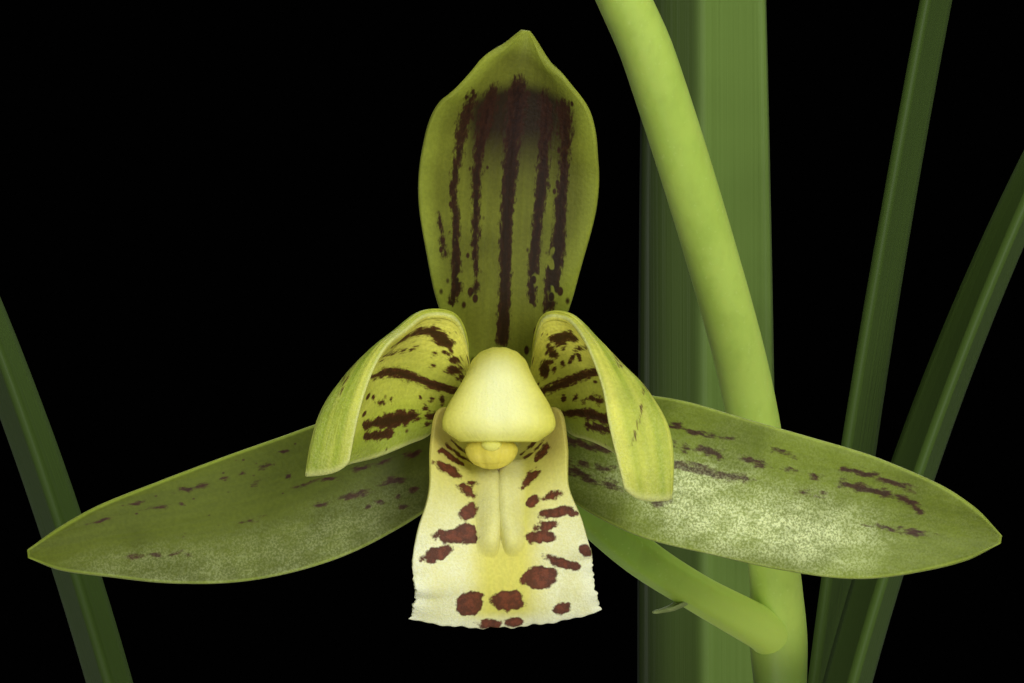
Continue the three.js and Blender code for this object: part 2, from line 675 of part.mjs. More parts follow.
const LEAVES = [
  { bulb: 0, foot: [-1.6, -1], bearing: 176, length: 430, leans: [-3.4, 55] },
  { bulb: 0, foot: [0.6, 3], bearing: 90, length: 236, leans: [4, 14] },
  { bulb: 0, foot: [-6.3, -0.8], bearing: 204, length: 350, leans: [16, 100] },
  { bulb: 1, foot: [-2, -2], bearing: 226, length: 330, leans: [14, 112] },
  { bulb: 1, foot: [1.6, 0.6], bearing: 184, length: 232, leans: [3, 40] },
  { bulb: 2, foot: [0.1, 3.4], bearing: 90, length: 420, leans: [3.5, 8], half: 6.6 },
  { bulb: 2, foot: [2.4, -2.8], bearing: -3, length: 400, leans: [-0.6, 19] },
  { bulb: 3, foot: [2.4, -2], bearing: -44, length: 380, leans: [12, 98] },
  { bulb: 3, foot: [0.6, 3], bearing: 10, length: 390, leans: [-9, 51] },
  { bulb: 3, foot: [-1.4, -3], bearing: -70, length: 250, leans: [12, 104] },
  { bulb: 4, foot: [1.8, 0], bearing: 16, length: 430, leans: [3, 54] },
  { bulb: 4, foot: [-2, 3.2], bearing: 64, length: 440, leans: [5, 44] },
  { bulb: 4, foot: [6.1, -1.8], bearing: -12, length: 350, leans: [16, 96] },
];
const LEAF_WIDTHS = [
  [0, 0.42],
  [0.06, 0.5],
  [0.2, 0.8],
  [0.4, 1],
  [0.65, 1],
  [0.85, 0.72],
  [0.95, 0.36],
  [1, 0.06],
];

function leafStations({ bulb: which, foot, bearing, length, leans: [lean, tipLean], half = LEAF_HALF }) {
  const { at } = BULBS[which];
  const out = radians(bearing);
  const onTop = Math.hypot(...foot) < 4;
  let x = at[0] + foot[0];
  let y = at[1] + foot[1];
  let z = MIX_TOP - BULB_SUNK + BULB_HEIGHT + (onTop ? GAP : -4);
  const count = 16;
  return steps(count).map((share) => {
    const station = [share, x, y, z, half * along(LEAF_WIDTHS, share)[0], 0, 0, 0];
    const angle = radians(lean + (tipLean - lean) * (share + 0.5 / count) ** 2);
    x += (length / count) * Math.sin(angle) * Math.cos(out);
    y += (length / count) * Math.sin(angle) * Math.sin(out);
    z += (length / count) * Math.cos(angle);
    return station;
  });
}

function leaf(spec) {
  const out = radians(spec.bearing);
  return blade({
    stations: leafStations(spec),
    face: vec([-Math.cos(out), -Math.sin(out), 1]),
    thick: LEAF_THICK,
    rows: 16,
    cols: 2,
    fold: (share) => 6 + 22 * Math.min(share * 5, 1) - 8 * share,
  });
}

BULBS.forEach((spec, i) => add(`pseudobulb_${i + 1}`, join(bulb(spec), ...scales(spec)), BULB));
LEAVES.forEach((spec, i) => add(`leaf_${i + 1}`, leaf(spec), LEAF));

// The growing mix: a filled body with a lumpy top of bark chips, and holes where bulbs and stem stand.

function mix() {
  const random = seeded(7);
  const room = (z) => wallRadius(z) - POT_WALL - GAP;
  const lathe = (profile) =>
    new THREE.LatheGeometry(profile.map(([r, z]) => new THREE.Vector2(r, z)), POT_SIDES).rotateX(Math.PI / 2);
  const body = lathe([
    [0, POT_FLOOR + GAP],
    [room(POT_FLOOR) - 5, POT_FLOOR + GAP],
    [room(POT_FLOOR + 5), POT_FLOOR + 5],
    [room(MIX_TOP - 3), MIX_TOP - 3],
    [room(MIX_TOP) - 4, MIX_TOP],
    [30, MIX_TOP + 1.5],
    [0, MIX_TOP + 2],
  ]);
  const potRoom = lathe([
    [0, 0],
    [room(0), 0],
    [room(POT_HEIGHT), POT_HEIGHT],
    [0, POT_HEIGHT],
  ]);
  const clear = (x, y) =>
    BULBS.every(({ at }) => Math.hypot(x - at[0], y - at[1]) > 18) &&
    Math.hypot(x - STEM_LINE[0][0], y - STEM_LINE[0][1]) > 11;
  const spots = steps(CHIPS - 1).map((_, i) => {
    const r = 58 * Math.sqrt((i + 0.5) / CHIPS);
    const a = i * 2.39996 + random() * 0.4;
    return [r * Math.cos(a), r * Math.sin(a)];
  });
  const chips = spots.filter((spot) => clear(...spot)).map((spot) => {
    const scale = 0.75 + 0.5 * random();
    return new THREE.BoxGeometry(...CHIP_SIZE.map((v) => v * scale))
      .rotateX(random() - 0.5)
      .rotateY(random() - 0.5)
      .rotateZ(random() * Math.PI)
      .translate(...spot, MIX_TOP + 0.6 + random());
  });
  const bulbRooms = BULBS.map((spec) => bulb(spec, GAP));
  return cut(inside(join(body, ...chips), potRoom), ...bulbRooms, stemLoft(GAP));
}
add("bark_mix", mix(), BARK);

export default plant;
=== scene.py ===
"""Potted Cymbidium haematodes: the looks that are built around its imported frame.

Shapes are worked out in millimetres and made in metres, in the frame's own place.
"""

import math

import bpy
import numpy as np
from bpy.props import FloatProperty, FloatVectorProperty, IntProperty, PointerProperty
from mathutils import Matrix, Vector


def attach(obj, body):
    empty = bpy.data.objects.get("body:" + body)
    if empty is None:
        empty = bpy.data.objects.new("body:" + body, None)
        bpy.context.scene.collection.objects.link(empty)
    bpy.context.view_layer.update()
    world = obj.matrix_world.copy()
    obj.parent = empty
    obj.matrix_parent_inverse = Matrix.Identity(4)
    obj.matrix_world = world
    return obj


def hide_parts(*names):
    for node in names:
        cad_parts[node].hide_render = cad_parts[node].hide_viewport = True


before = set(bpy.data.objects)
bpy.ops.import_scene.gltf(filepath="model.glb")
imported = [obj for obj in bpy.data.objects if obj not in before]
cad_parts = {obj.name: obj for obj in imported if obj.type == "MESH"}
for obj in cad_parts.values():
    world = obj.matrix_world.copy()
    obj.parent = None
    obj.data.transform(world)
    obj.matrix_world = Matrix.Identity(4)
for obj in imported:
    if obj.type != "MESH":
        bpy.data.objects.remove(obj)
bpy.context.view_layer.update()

bl_info = {
    "name": "Potted Cymbidium haematodes",
    "version": (1, 0, 0),
    "blender": (4, 5, 0),
    "location": "3D View > Sidebar > Orchid",
    "description": "Builds a potted cymbidium orchid with striped blooms around its packed frame",
    "category": "Object",
}

MM = 0.001
FRONT = np.array((0.0, -1.0, 0.0))
LIP_FACE = np.array((0.0, -1.0, 1.0))
BLOOM_AT = np.array((-17.0, -50.0, 440.0))
# How far in front, beside and above the nearest bloom the camera stands, and how wide its frame is there
CAMERA_AWAY, CAMERA_ASIDE, CAMERA_UP = 300, 0.91, 4.1
FRAME_WIDE = 71.68
# A piece with fewer faces than this has come out empty
FEWEST_FACES = 100


# Sizes and colours that a user would change


def length(name, description, default):
    return FloatProperty(
        name=name, description=description, default=default, min=0, unit="LENGTH", precision=5
    )


def colour(name, description, default):
    return FloatVectorProperty(
        name=name, description=description, default=default, min=0, max=1, size=3, subtype="COLOR"
    )


class OrchidSizes(bpy.types.PropertyGroup):
    """Sizes of the plant that are free to change a little."""

    tepal_thick: length("Petal thickness", "Thickness of a sepal or petal in its middle", 0.00075)
    leaf_half: length("Leaf half width", "From a leaf's midrib to its margin at its widest", 0.0058)
    leaf_thick: length("Leaf thickness", "Thickness of a leaf", 0.0008)
    stem_radius: length("Stem radius", "Radius of the flower stem in the middle of its length", 0.00195)
    bulb_radius: length("Bulb radius", "Widest radius of a pseudobulb", 0.0095)
    chip: length("Bark chip", "Length of a bark chip of the middle size", 0.0105)
    chips: IntProperty(
        name="Bark chips", description="How many bark chips lie on the mix at most", default=260, min=0
    )


class OrchidColours(bpy.types.PropertyGroup):
    """Main colours of the plant, its pot and its mix."""

    clay: colour("Clay", "Unglazed clay of the pot", (0.48, 0.2, 0.105))
    bark: colour("Bark", "Bark chips of the mix", (0.16, 0.08, 0.038))
    bulb: colour("Pseudobulb", "Skin of the pseudobulbs", (0.17, 0.24, 0.05))
    husk: colour("Husk", "Dry scale leaves and bracts", (0.42, 0.36, 0.17))
    leaf: colour("Leaf", "Upper side of the leaves", (0.052, 0.09, 0.015))
    stem: colour("Stem", "Flower stem and bloom stalks", (0.48, 0.64, 0.105))
    sepal: colour("Sepal", "Ground of the three sepals", (0.16, 0.175, 0.018))
    petal: colour("Petal", "Ground of the two petals", (0.86, 0.82, 0.14))
    lip: colour("Lip", "Ground of the lip", (0.66, 0.61, 0.12))
    column: colour("Column", "Ground of the column", (0.84, 0.81, 0.17))
    anther: colour("Anther cap", "Cap at the end of the column", (0.72, 0.62, 0.09))
    marks: colour("Marks", "Stripes and blotches on the blooms", (0.075, 0.019, 0.011))
    floor: colour("Floor", "Floor under the pot", (0.62, 0.61, 0.58))


# Lines, sheets and tubes


def unit(v):
    return v / np.maximum(np.linalg.norm(v, axis=-1, keepdims=True), 1e-9)


def smooth(low, high, value):
    f = np.clip((value - low) / (high - low), 0, 1)
    return f * f * (3 - 2 * f)


def eased(a, b, slope_a, slope_b, f):
    """A smooth run from a to b that has the given slopes at its ends."""
    values = a * (1 + 2 * f) * (1 - f) ** 2 + slope_a * f * (1 - f) ** 2
    return values + (b * f * f * (3 - 2 * f) + slope_b * f * f * (f - 1))


def along(stations, share):
    """Smooth values between stations, each of them (share, value, value, ...)."""
    table = np.asarray(stations, float)
    share = np.clip(np.asarray(share, float), 0, 1)
    i = np.clip(np.searchsorted(table[:, 0], share, side="left") - 1, 0, len(table) - 2)
    a, b = table[i], table[i + 1]
    before, after = table[np.maximum(i - 1, 0)], table[np.minimum(i + 2, len(table) - 1)]
    span = b[..., :1] - a[..., :1]
    slope_a = (b - before) / (b[..., :1] - before[..., :1]) * span
    slope_b = (after - a) / (after[..., :1] - a[..., :1]) * span
    return eased(a, b, slope_a, slope_b, (share[..., None] - a[..., :1]) / span)[..., 1:]


def axes_at(stations, share, face):
    """The way a line's face looks and, square to the line, the way its width runs."""
    step = 0.01
    way = unit(along(stations, share + step)[..., :3] - along(stations, share - step)[..., :3])
    look = unit(face - way * (way @ face)[..., None])
    return look, np.cross(way, look)


def lattice(rows, cols):
    """How far down and how far across its sheet each point of a grid lies, from 0 to 1."""
    return np.meshgrid(np.linspace(0, 1, rows + 1), np.linspace(0, 1, cols + 1), indexing="ij")


def blade(stations, face, rows, cols, blunt=0.0, wave=None):
    """A blade as rows of points, with each point's place across (-1 to 1) and along (0 to 1)."""
    row, col = lattice(rows, cols)
    u = 2 * col - 1
    share = row * (1 - blunt * u * u)
    x, y, z, half, curl = np.moveaxis(along(stations, share), -1, 0)
    look, wide = axes_at(stations, share, np.asarray(face, float))
    reach = np.abs(u) * half
    turn = np.maximum(np.radians(curl) / np.maximum(half, 0.1), 1e-4)
    across = np.sign(u) * np.sin(turn * reach) / turn
    rise = (1 - np.cos(turn * reach)) / turn + (wave(share, u) if wave else 0)
    points = np.stack((x, y, z), -1) + wide * across[..., None] + look * rise[..., None]
    return points, u, share


def patch(lines, rows, cols, blunt):
    """A sheet through rows of four points, each row across it."""
    row, col = lattice(rows, cols)
    down = row * (1 - blunt * (2 * col - 1) ** 8)
    lines = np.asarray(lines, float)
    shares = np.linspace(0, 1, len(lines))
    across = [along(np.column_stack((shares, lines[:, k])), down) for k in range(4)]
    points = across[0]
    for k in range(3):
        left, right = max(k - 1, 0), min(k + 2, 3)
        slope_a = (across[k + 1] - across[left]) / (k + 1 - left)
        slope_b = (across[right] - across[k]) / (right - k)
        f = np.clip(col * 3 - k, 0, 1)[..., None]
        points = np.where(f > 0, eased(across[k], across[k + 1], slope_a, slope_b, f), points)
    return points, 2 * col - 1, row


def run_of(points):
    """How far along a line of points each of them lies."""
    return np.concatenate(([0], np.cumsum(np.linalg.norm(np.diff(points, axis=0), axis=1))))


def tube_stations(points, radii):
    """Stations of a round tube through points, for Form.loft."""
    points = np.asarray(points, float)
    run = run_of(points)
    radii = np.broadcast_to(radii, len(points))
    return np.column_stack((run / run[-1], points, radii, radii))


def closed_tube(rings, sides):
    """Faces of a tube, whose two last points close its foot and its top."""
    i = np.arange(rings * sides).reshape(rings, sides)
    j = np.roll(i, -1, axis=1)
    foot, top = (np.full(sides, rings * sides + k) for k in (0, 1))
    return [
        np.column_stack([x.ravel() for x in (i[:-1], j[:-1], j[1:], i[1:])]),
        np.column_stack((foot, j[0], i[0])),
        np.column_stack((top, i[-1], j[-1])),
    ]


def placed(name, data):
    """A new object of the scene, at its origin."""
    made = bpy.data.objects.new(name, data)
    bpy.context.scene.collection.objects.link(made)
    return made


# Values that a point has where a piece names no other; the finishes read them as layers
PLAIN = {"mark": 9.0, "broken": 0.0, "fleck": 0.0, "frost": 0.0, "shade": 0.0, "rim": 9.0}


class Form:
    """The surfaces of one piece, gathered in millimetres before its mesh is made."""

    def __init__(self):
        self.points, self.uv, self.faces, self.slots, self.materials = [], [], [], [], []
        self.layers = {name: [] for name in PLAIN}
        self.count = 0

    def add(self, points, uv, faces, material, layers=None, place=None):
        """Adds a closed surface in one material, turned outwards by the sign of its volume."""
        points, uv = points.reshape(-1, 3), uv.reshape(-1, 2)
        points = place(points) if place else points
        volume = 0
        for face in faces:
            for k in range(1, face.shape[1] - 1):
                a, b, c = points[face[:, 0]], points[face[:, k]], points[face[:, k + 1]]
                volume += (a * np.cross(b, c)).sum()
        if material not in self.materials:
            self.materials.append(material)
        for face in faces:
            turned = face if volume > 0 else face[:, ::-1]
            self.faces += (turned + self.count).tolist()
            self.slots += [self.materials.index(material)] * len(face)
        self.points.append(points)
        self.uv.append(uv)
        for name, default in PLAIN.items():
            values = (layers or {}).get(name, default)
            self.layers[name].append(np.broadcast_to(values, points.shape[:1]).astype(float))
        self.count += len(points)

    def sheet(self, grid, uv, thick, material, front=None, back=None, place=None, thin=0.35):
        """Both faces of a sheet and its rim; the sheet thins towards its margins."""
        rows, cols = grid.shape[:2]
        normal = unit(np.cross(np.gradient(grid, axis=0), np.gradient(grid, axis=1)))
        u = np.linspace(-1, 1, cols)[None, :, None]
        v = np.linspace(0, 1, rows)[:, None, None]
        half = thick / 2 * (1 - (1 - thin) * np.maximum(np.abs(u) ** 8, v**24))
        points = np.concatenate([(grid + side * normal * half).reshape(-1, 3) for side in (1, -1)])
        n = rows * cols
        i = np.arange(n).reshape(rows, cols)
        a, b, c, d = (x.ravel() for x in (i[:-1, :-1], i[:-1, 1:], i[1:, 1:], i[1:, :-1]))
        rim = np.concatenate((i[0], i[1:, -1], i[-1, -2::-1], i[-2:0:-1, 0]))
        after = np.roll(rim, -1)
        faces = [
            np.column_stack((a, b, c, d)),
            np.column_stack((d, c, b, a)) + n,
            np.column_stack((rim, rim + n, after + n, after)),
        ]
        layers = {}
        for name, default in PLAIN.items():
            both = [(side or {}).get(name, default) for side in (back, front)]
            layers[name] = np.concatenate([np.broadcast_to(x, (rows, cols)).ravel() for x in both])
        self.add(points, np.concatenate((uv.reshape(-1, 2),) * 2), faces, material, layers, place)

    def loft(self, stations, face, rings, sides, material, shape=None, layers=None, place=None):
        """A solid drawn along a line; shape gives a factor for each ring and angle."""
        share = np.linspace(0, 1, rings + 1)
        x, y, z, half, depth = np.moveaxis(along(stations, share), -1, 0)
        look, wide = axes_at(stations, share, np.asarray(face, float))
        angle = np.linspace(0, 2 * np.pi, sides, endpoint=False)
        s, t = np.meshgrid(share, angle, indexing="ij")
        factor = shape(s, t) if shape else np.ones_like(s)
        middle = np.stack((x, y, z), -1)
        ring = wide[:, None] * (np.cos(t) * half[:, None] * factor)[..., None]
        ring = ring + look[:, None] * (np.sin(t) * depth[:, None] * factor)[..., None]
        points = np.concatenate(((middle[:, None] + ring).reshape(-1, 3), middle[[0, -1]]))
        run = run_of(middle)
        uv = np.stack((t * half.max(), np.broadcast_to(run[:, None], t.shape)), -1).reshape(-1, 2)
        uv = np.concatenate((uv, ((0, 0), (0, run[-1]))))
        values = {}
        for name, made in (layers(s, t) if layers else {}).items():
            made = np.broadcast_to(made, s.shape).ravel()
            values[name] = np.concatenate((made, made[[0, -1]]))
        self.add(points, uv, closed_tube(rings + 1, sides), material, values, place)

    def make(self, name):
        """The gathered surfaces as an object of the scene, in metres."""
        mesh = bpy.data.meshes.new(name)
        mesh.from_pydata((np.concatenate(self.points) * MM).tolist(), [], self.faces)
        for material in self.materials:
            mesh.materials.append(material)
        mesh.polygons.foreach_set("material_index", self.slots)
        mesh.polygons.foreach_set("use_smooth", [True] * len(self.faces))
        corners = np.empty(len(mesh.loops), np.int32)
        mesh.loops.foreach_get("vertex_index", corners)
        layer = mesh.uv_layers.new(name="Blade")
        layer.data.foreach_set("uv", np.concatenate(self.uv)[corners].ravel())
        for key, values in self.layers.items():
            mesh.attributes.new(key, "FLOAT", "POINT").data.foreach_set("value", np.concatenate(values))
        mesh.update()
        return placed(name, mesh)


def stand_for(piece, slot, *nodes):
    """Ties a finished piece to the frame: it is shown in place of the nodes it names."""
    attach(piece, "root")
    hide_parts(*nodes)


# Nodes of materials and of geometry trees


def fill(tree, socket, value):
    """Links a socket to another one, or sets its own value."""
    if isinstance(value, bpy.types.NodeSocket):
        tree.links.new(value, socket)
    else:
        socket.default_value = value


def wire(tree, kind, *inputs, pick=0, **named):
    """Adds a node with its settings, fills its inputs in order and by name, and gives back one output."""
    settings = {key: named.pop(key) for key in list(named) if key.islower()}
    made = tree.nodes.new(kind)
    for key, value in settings.items():
        setattr(made, key, value)
    for socket, value in zip(made.inputs, inputs):
        if value is not None:
            fill(tree, socket, value)
    for key, value in named.items():
        fill(tree, made.inputs[key.replace("_", " ")], value)
    return made.outputs[pick] if pick is not None else made


def rgba(c):
    return (*c[:3], 1.0)


def maths(tree, operation, *values):
    return wire(tree, "ShaderNodeMath", *values, operation=operation)


def times(tree, value, *others):
    """The product of values, by nodes."""
    for other in others:
        value = maths(tree, "MULTIPLY", value, other)
    return value


def blend(tree, share, a, b, kind="MIX"):
    """Mixes two colours by a share."""
    made = wire(tree, "ShaderNodeMix", pick=None, data_type="RGBA", blend_type=kind, clamp_factor=True)
    for slot, value in ((0, share), (6, a), (7, b)):
        fill(tree, made.inputs[slot], rgba(value) if isinstance(value, tuple) else value)
    return made.outputs[2]


def step_between(tree, value, low, high, to_low=0.0, to_high=1.0):
    return wire(
        tree, "ShaderNodeMapRange", value, low, high, to_low, to_high, interpolation_type="SMOOTHSTEP"
    )


def noise(tree, place, scale, detail=2.0, rough=0.5):
    return wire(tree, "ShaderNodeTexNoise", place, Scale=scale, Detail=detail, Roughness=rough)


def stretched(tree, place, across, down, deep=1.0):
    return wire(tree, "ShaderNodeVectorMath", place, (across, down, deep), operation="MULTIPLY")


def layer(tree, name):
    """Reads one of the values that a form keeps for each point."""
    return wire(tree, "ShaderNodeAttribute", pick=2, attribute_name=name)


def finish(name, **sockets):
    """A new material: its tree, its shader node with sockets set, and places on it in millimetres."""
    material = bpy.data.materials.new(name)
    material.use_nodes = True
    tree = material.node_tree
    shader = tree.nodes["Principled BSDF"]
    for key, value in sockets.items():
        shader.inputs[key.replace("_", " ")].default_value = value
    object_place = wire(tree, "ShaderNodeTexCoord", pick=3)
    place = wire(tree, "ShaderNodeVectorMath", object_place, (1000, 1000, 1000), operation="MULTIPLY")
    return material, tree, shader, place


def dress(tree, shader, body, height, depth):
    """Gives a shader its colour and its low relief; depth is in metres."""
    tree.links.new(body, shader.inputs["Base Color"])
    bump = wire(tree, "ShaderNodeBump", Height=height, Distance=depth, Strength=1.0)
    tree.links.new(bump, shader.inputs["Normal"])


def shades(c, *factors):
    """A colour times one factor, or times one each for red, green and blue."""
    return tuple(min(1.0, v * f) for v, f in zip(c, factors * 3))


def bloom_finish(
    name, ground, deep, rim, marks, frost, dusk, grain=0.06, rough=0.42, vein=0.35, ragged=0.5, fine=1.6,
    glitter=0.65, edged=0.0, depth=0.00005,
):
    """Living petal tissue with veins, fine cells, paler rims, frosty places and the maroon marks. The
    frosty layer also paints sheen, glints and light, and the shade layer mixes in the dusk colour, partly
    as the tissue's darker tone and partly as painted shade.
    """
    material, tree, shader, place = finish(
        name, Roughness=rough, Subsurface_Weight=0.15, Subsurface_Scale=0.0012,
        Subsurface_Radius=(1.0, 0.85, 0.3), Specular_IOR_Level=0.1,
    )
    flat = wire(tree, "ShaderNodeUVMap", uv_map="Blade")
    streak = noise(tree, stretched(tree, flat, 2.4, 0.1), 1.0, 2.0)
    clouds = noise(tree, place, 0.22, 2.0)
    cells = noise(tree, place, 4.2, 1.0)
    body = blend(tree, step_between(tree, streak, 0.35, 0.65, 0.0, vein), ground, deep)
    body = blend(tree, step_between(tree, clouds, 0.4, 0.7, 0.0, 0.35), body, deep)
    body = blend(tree, layer(tree, "shade"), body, dusk)
    body = blend(tree, step_between(tree, layer(tree, "rim"), 0.1, 0.75, 0.8, 0.0), body, rim)
    bright = step_between(tree, cells, 0.3, 0.7, 1.0 - grain, 1.0 + grain)
    bright = times(tree, bright, step_between(tree, clouds, 0.35, 0.68, 1.07, 0.86))
    body = blend(tree, 1.0, body, wire(tree, "ShaderNodeCombineColor", bright, bright, bright), "MULTIPLY")
    # Painted glints: fine bright specks of the frosty colour where the frosty layer lies, standing in for
    # light that sparkles off the cells
    sparkle = noise(tree, place, 6.5, 3.0, 0.65)
    clusters = noise(tree, stretched(tree, flat, 0.95, 0.5), 1.0, 2.0)
    sparkling = step_between(tree, sparkle, 0.4, 0.62, 1.0 - glitter, 1.0)
    clustered = step_between(tree, clusters, 0.36, 0.6, 1.0 - glitter * 0.65, 1.0)
    frost_and_glints = times(tree, layer(tree, "frost"), sparkling, clustered)
    body = blend(tree, frost_and_glints, body, frost)
    drawn = place if edged else stretched(tree, flat, 1.5, 0.5)
    fringe = noise(tree, drawn, fine, 3.0, 0.6)
    wobble = maths(tree, "MULTIPLY_ADD", fringe, ragged * 2, -ragged)
    edge = maths(tree, "ADD", layer(tree, "mark"), wobble)
    blur = 0.07 if edged else 0.12
    inside = step_between(tree, edge, -blur, blur, 1.0, 0.0)
    broken = layer(tree, "broken")
    dashes = noise(tree, stretched(tree, flat, 1.3, 0.62), 1.0, 1.0)
    gap = maths(tree, "MULTIPLY_ADD", broken, 0.58, -0.02)
    kept = step_between(tree, maths(tree, "SUBTRACT", dashes, gap), -0.04, 0.04)
    inside = times(tree, inside, kept)
    dots = wire(tree, "ShaderNodeTexVoronoi", stretched(tree, flat, 1.25, 0.7), Scale=1.0, Randomness=1.0)
    size = times(tree, layer(tree, "fleck"), 0.34)
    dotted = step_between(tree, maths(tree, "SUBTRACT", dots, size), -0.06, 0.06, 1.0, 0.0)
    dotted = times(tree, dotted, step_between(tree, layer(tree, "fleck"), 0.02, 0.2))
    mask = maths(tree, "MAXIMUM", inside, dotted)
    thin = step_between(tree, noise(tree, place, 2.2, 3.0, 0.65), 0.38, 0.66, 0.0, 1.0 if edged else 0.4)
    stain = blend(tree, thin, marks, shades(marks, 1.9, 1.8, 1.5))
    if edged:
        stain = blend(tree, step_between(tree, edge, -0.28, -0.02, 0.0, edged), stain, shades(marks, 0.55))
    else:
        stain = blend(tree, step_between(tree, edge, -0.4, -0.05, 0.75, 0.0), stain, shades(marks, 0.4))
    body = blend(tree, times(tree, mask, 0.97), body, stain)
    # More painted sheen where the tissue glitters most
    if glitter > 0.7:
        body = blend(tree, times(tree, frost_and_glints, 0.45), body, frost)
    height = maths(tree, "MULTIPLY_ADD", streak, 0.7, times(tree, cells, 0.5))
    height = maths(tree, "MULTIPLY_ADD", frost_and_glints, times(tree, sparkle, 0.9), height)
    dress(tree, shader, body, height, depth)
    return material


def plain_finish(
    name, ground, deep, spots, rough, grain, depth, stretch=(1.0, 1.0, 1.0), specks=0.0, soft=0.0,
    mottle=0.6, lit=None, low=None,
):
    """A mottled natural finish: two tones in clouds, streaks along a stretch, and fine specks."""
    material, tree, shader, place = finish(
        name, Roughness=rough, Subsurface_Weight=soft, Subsurface_Scale=0.0015, Specular_IOR_Level=0.25
    )
    drawn = stretched(tree, place, *stretch)
    clouds = noise(tree, drawn, grain * 0.25, 3.0)
    streak = noise(tree, drawn, grain, 4.0, 0.6)
    body = blend(tree, step_between(tree, clouds, 0.35, 0.68), ground, deep)
    body = blend(tree, step_between(tree, streak, 0.45, 0.75, 0.0, mottle), body, shades(deep, 0.75))
    if lit:
        body = blend(tree, layer(tree, "shade"), body, lit)
    if specks:
        bits = noise(tree, place, grain * 2.6, 2.0)
        body = blend(tree, step_between(tree, bits, 0.62, 0.74, 0.0, specks), body, spots)
    # Darker below given heights: partly the piece's own colour, partly painted shade
    if low:
        parts = wire(tree, "ShaderNodeSeparateXYZ", place, pick=None)
        body = blend(tree, step_between(tree, parts.outputs[2], *LOW_TONE_AND_SHADE, 0.92, 0.0), body, low)
    dress(tree, shader, body, maths(tree, "MULTIPLY_ADD", streak, 0.7, clouds), depth)
    return material


def leaf_finish(name, green, lit, edge=1.0):
    """Strap leaf: pale midrib, fine veins along it, one half lighter as painted light, a margin darker as
    painted shade where edge is below 1, and a yellower foot.
    """
    material, tree, shader, place = finish(name, Roughness=0.45, Specular_IOR_Level=0.15)
    flat = wire(tree, "ShaderNodeUVMap", uv_map="Blade")
    parts = wire(tree, "ShaderNodeSeparateXYZ", flat, pick=None)
    veins = noise(tree, stretched(tree, flat, 2.6, 0.012), 1.0, 2.0)
    clouds = noise(tree, place, 0.035, 3.0)
    pale = shades(green, 1.7, 1.5, 1.4)
    across, down = parts.outputs[:2]
    # Painted light: lit makes the half that faces the lamps across the fold lighter
    body = blend(tree, step_between(tree, across, -1.5, 0.6), green, shades(green, lit))
    body = blend(tree, step_between(tree, veins, 0.3, 0.75, 0.0, 0.03), body, pale)
    body = blend(tree, step_between(tree, clouds, 0.42, 0.72, 0.0, 0.4), body, shades(green, 0.8))
    middle = maths(tree, "ABSOLUTE", across)
    body = blend(tree, step_between(tree, middle, 0.15, 0.75, 0.05, 0.0), body, pale)
    # Painted shade on the margin of the half that is turned from the light
    if edge < 1:
        margin = step_between(tree, across, -6.8, -2.6, 1.0 - edge, 0.0)
        body = blend(tree, margin, body, shades(green, 0.1))
    body = blend(tree, step_between(tree, down, 4.0, 55.0, 0.75, 0.0), body, (0.3, 0.34, 0.1))
    dress(tree, shader, body, veins, 0.00006)
    return material


def clay_finish(colours):
    """Unglazed clay: turning lines round the pot and pale mineral bloom low down."""
    material, tree, shader, place = finish("Clay", Roughness=0.88)
    parts = wire(tree, "ShaderNodeSeparateXYZ", place, pick=None)
    clay = tuple(colours.clay)
    clouds = noise(tree, place, 0.035, 4.0)
    fine = noise(tree, place, 1.1, 4.0, 0.65)
    rings = noise(tree, stretched(tree, place, 0.01, 0.01, 0.9), 1.0, 2.0)
    body = blend(tree, step_between(tree, clouds, 0.35, 0.7), clay, shades(clay, 0.78))
    body = blend(tree, step_between(tree, fine, 0.5, 0.8, 0.0, 0.5), body, shades(clay, 1.35))
    low = step_between(tree, parts.outputs[2], 10.0, 95.0, 0.4, 0.0)
    bloom = times(tree, low, step_between(tree, clouds, 0.34, 0.72))
    body = blend(tree, bloom, body, (0.66, 0.55, 0.44))
    height = maths(tree, "MULTIPLY_ADD", rings, 0.8, times(tree, fine, 0.5))
    dress(tree, shader, body, height, 0.0006)
    return material


MADE = {}
# The stem turns darker below these heights, in millimetres: partly its own deeper green, partly painted
# shade where it falls out of the light
LOW_TONE_AND_SHADE = (418.0, 424.0)
FROST = (0.54, 0.63, 0.24)


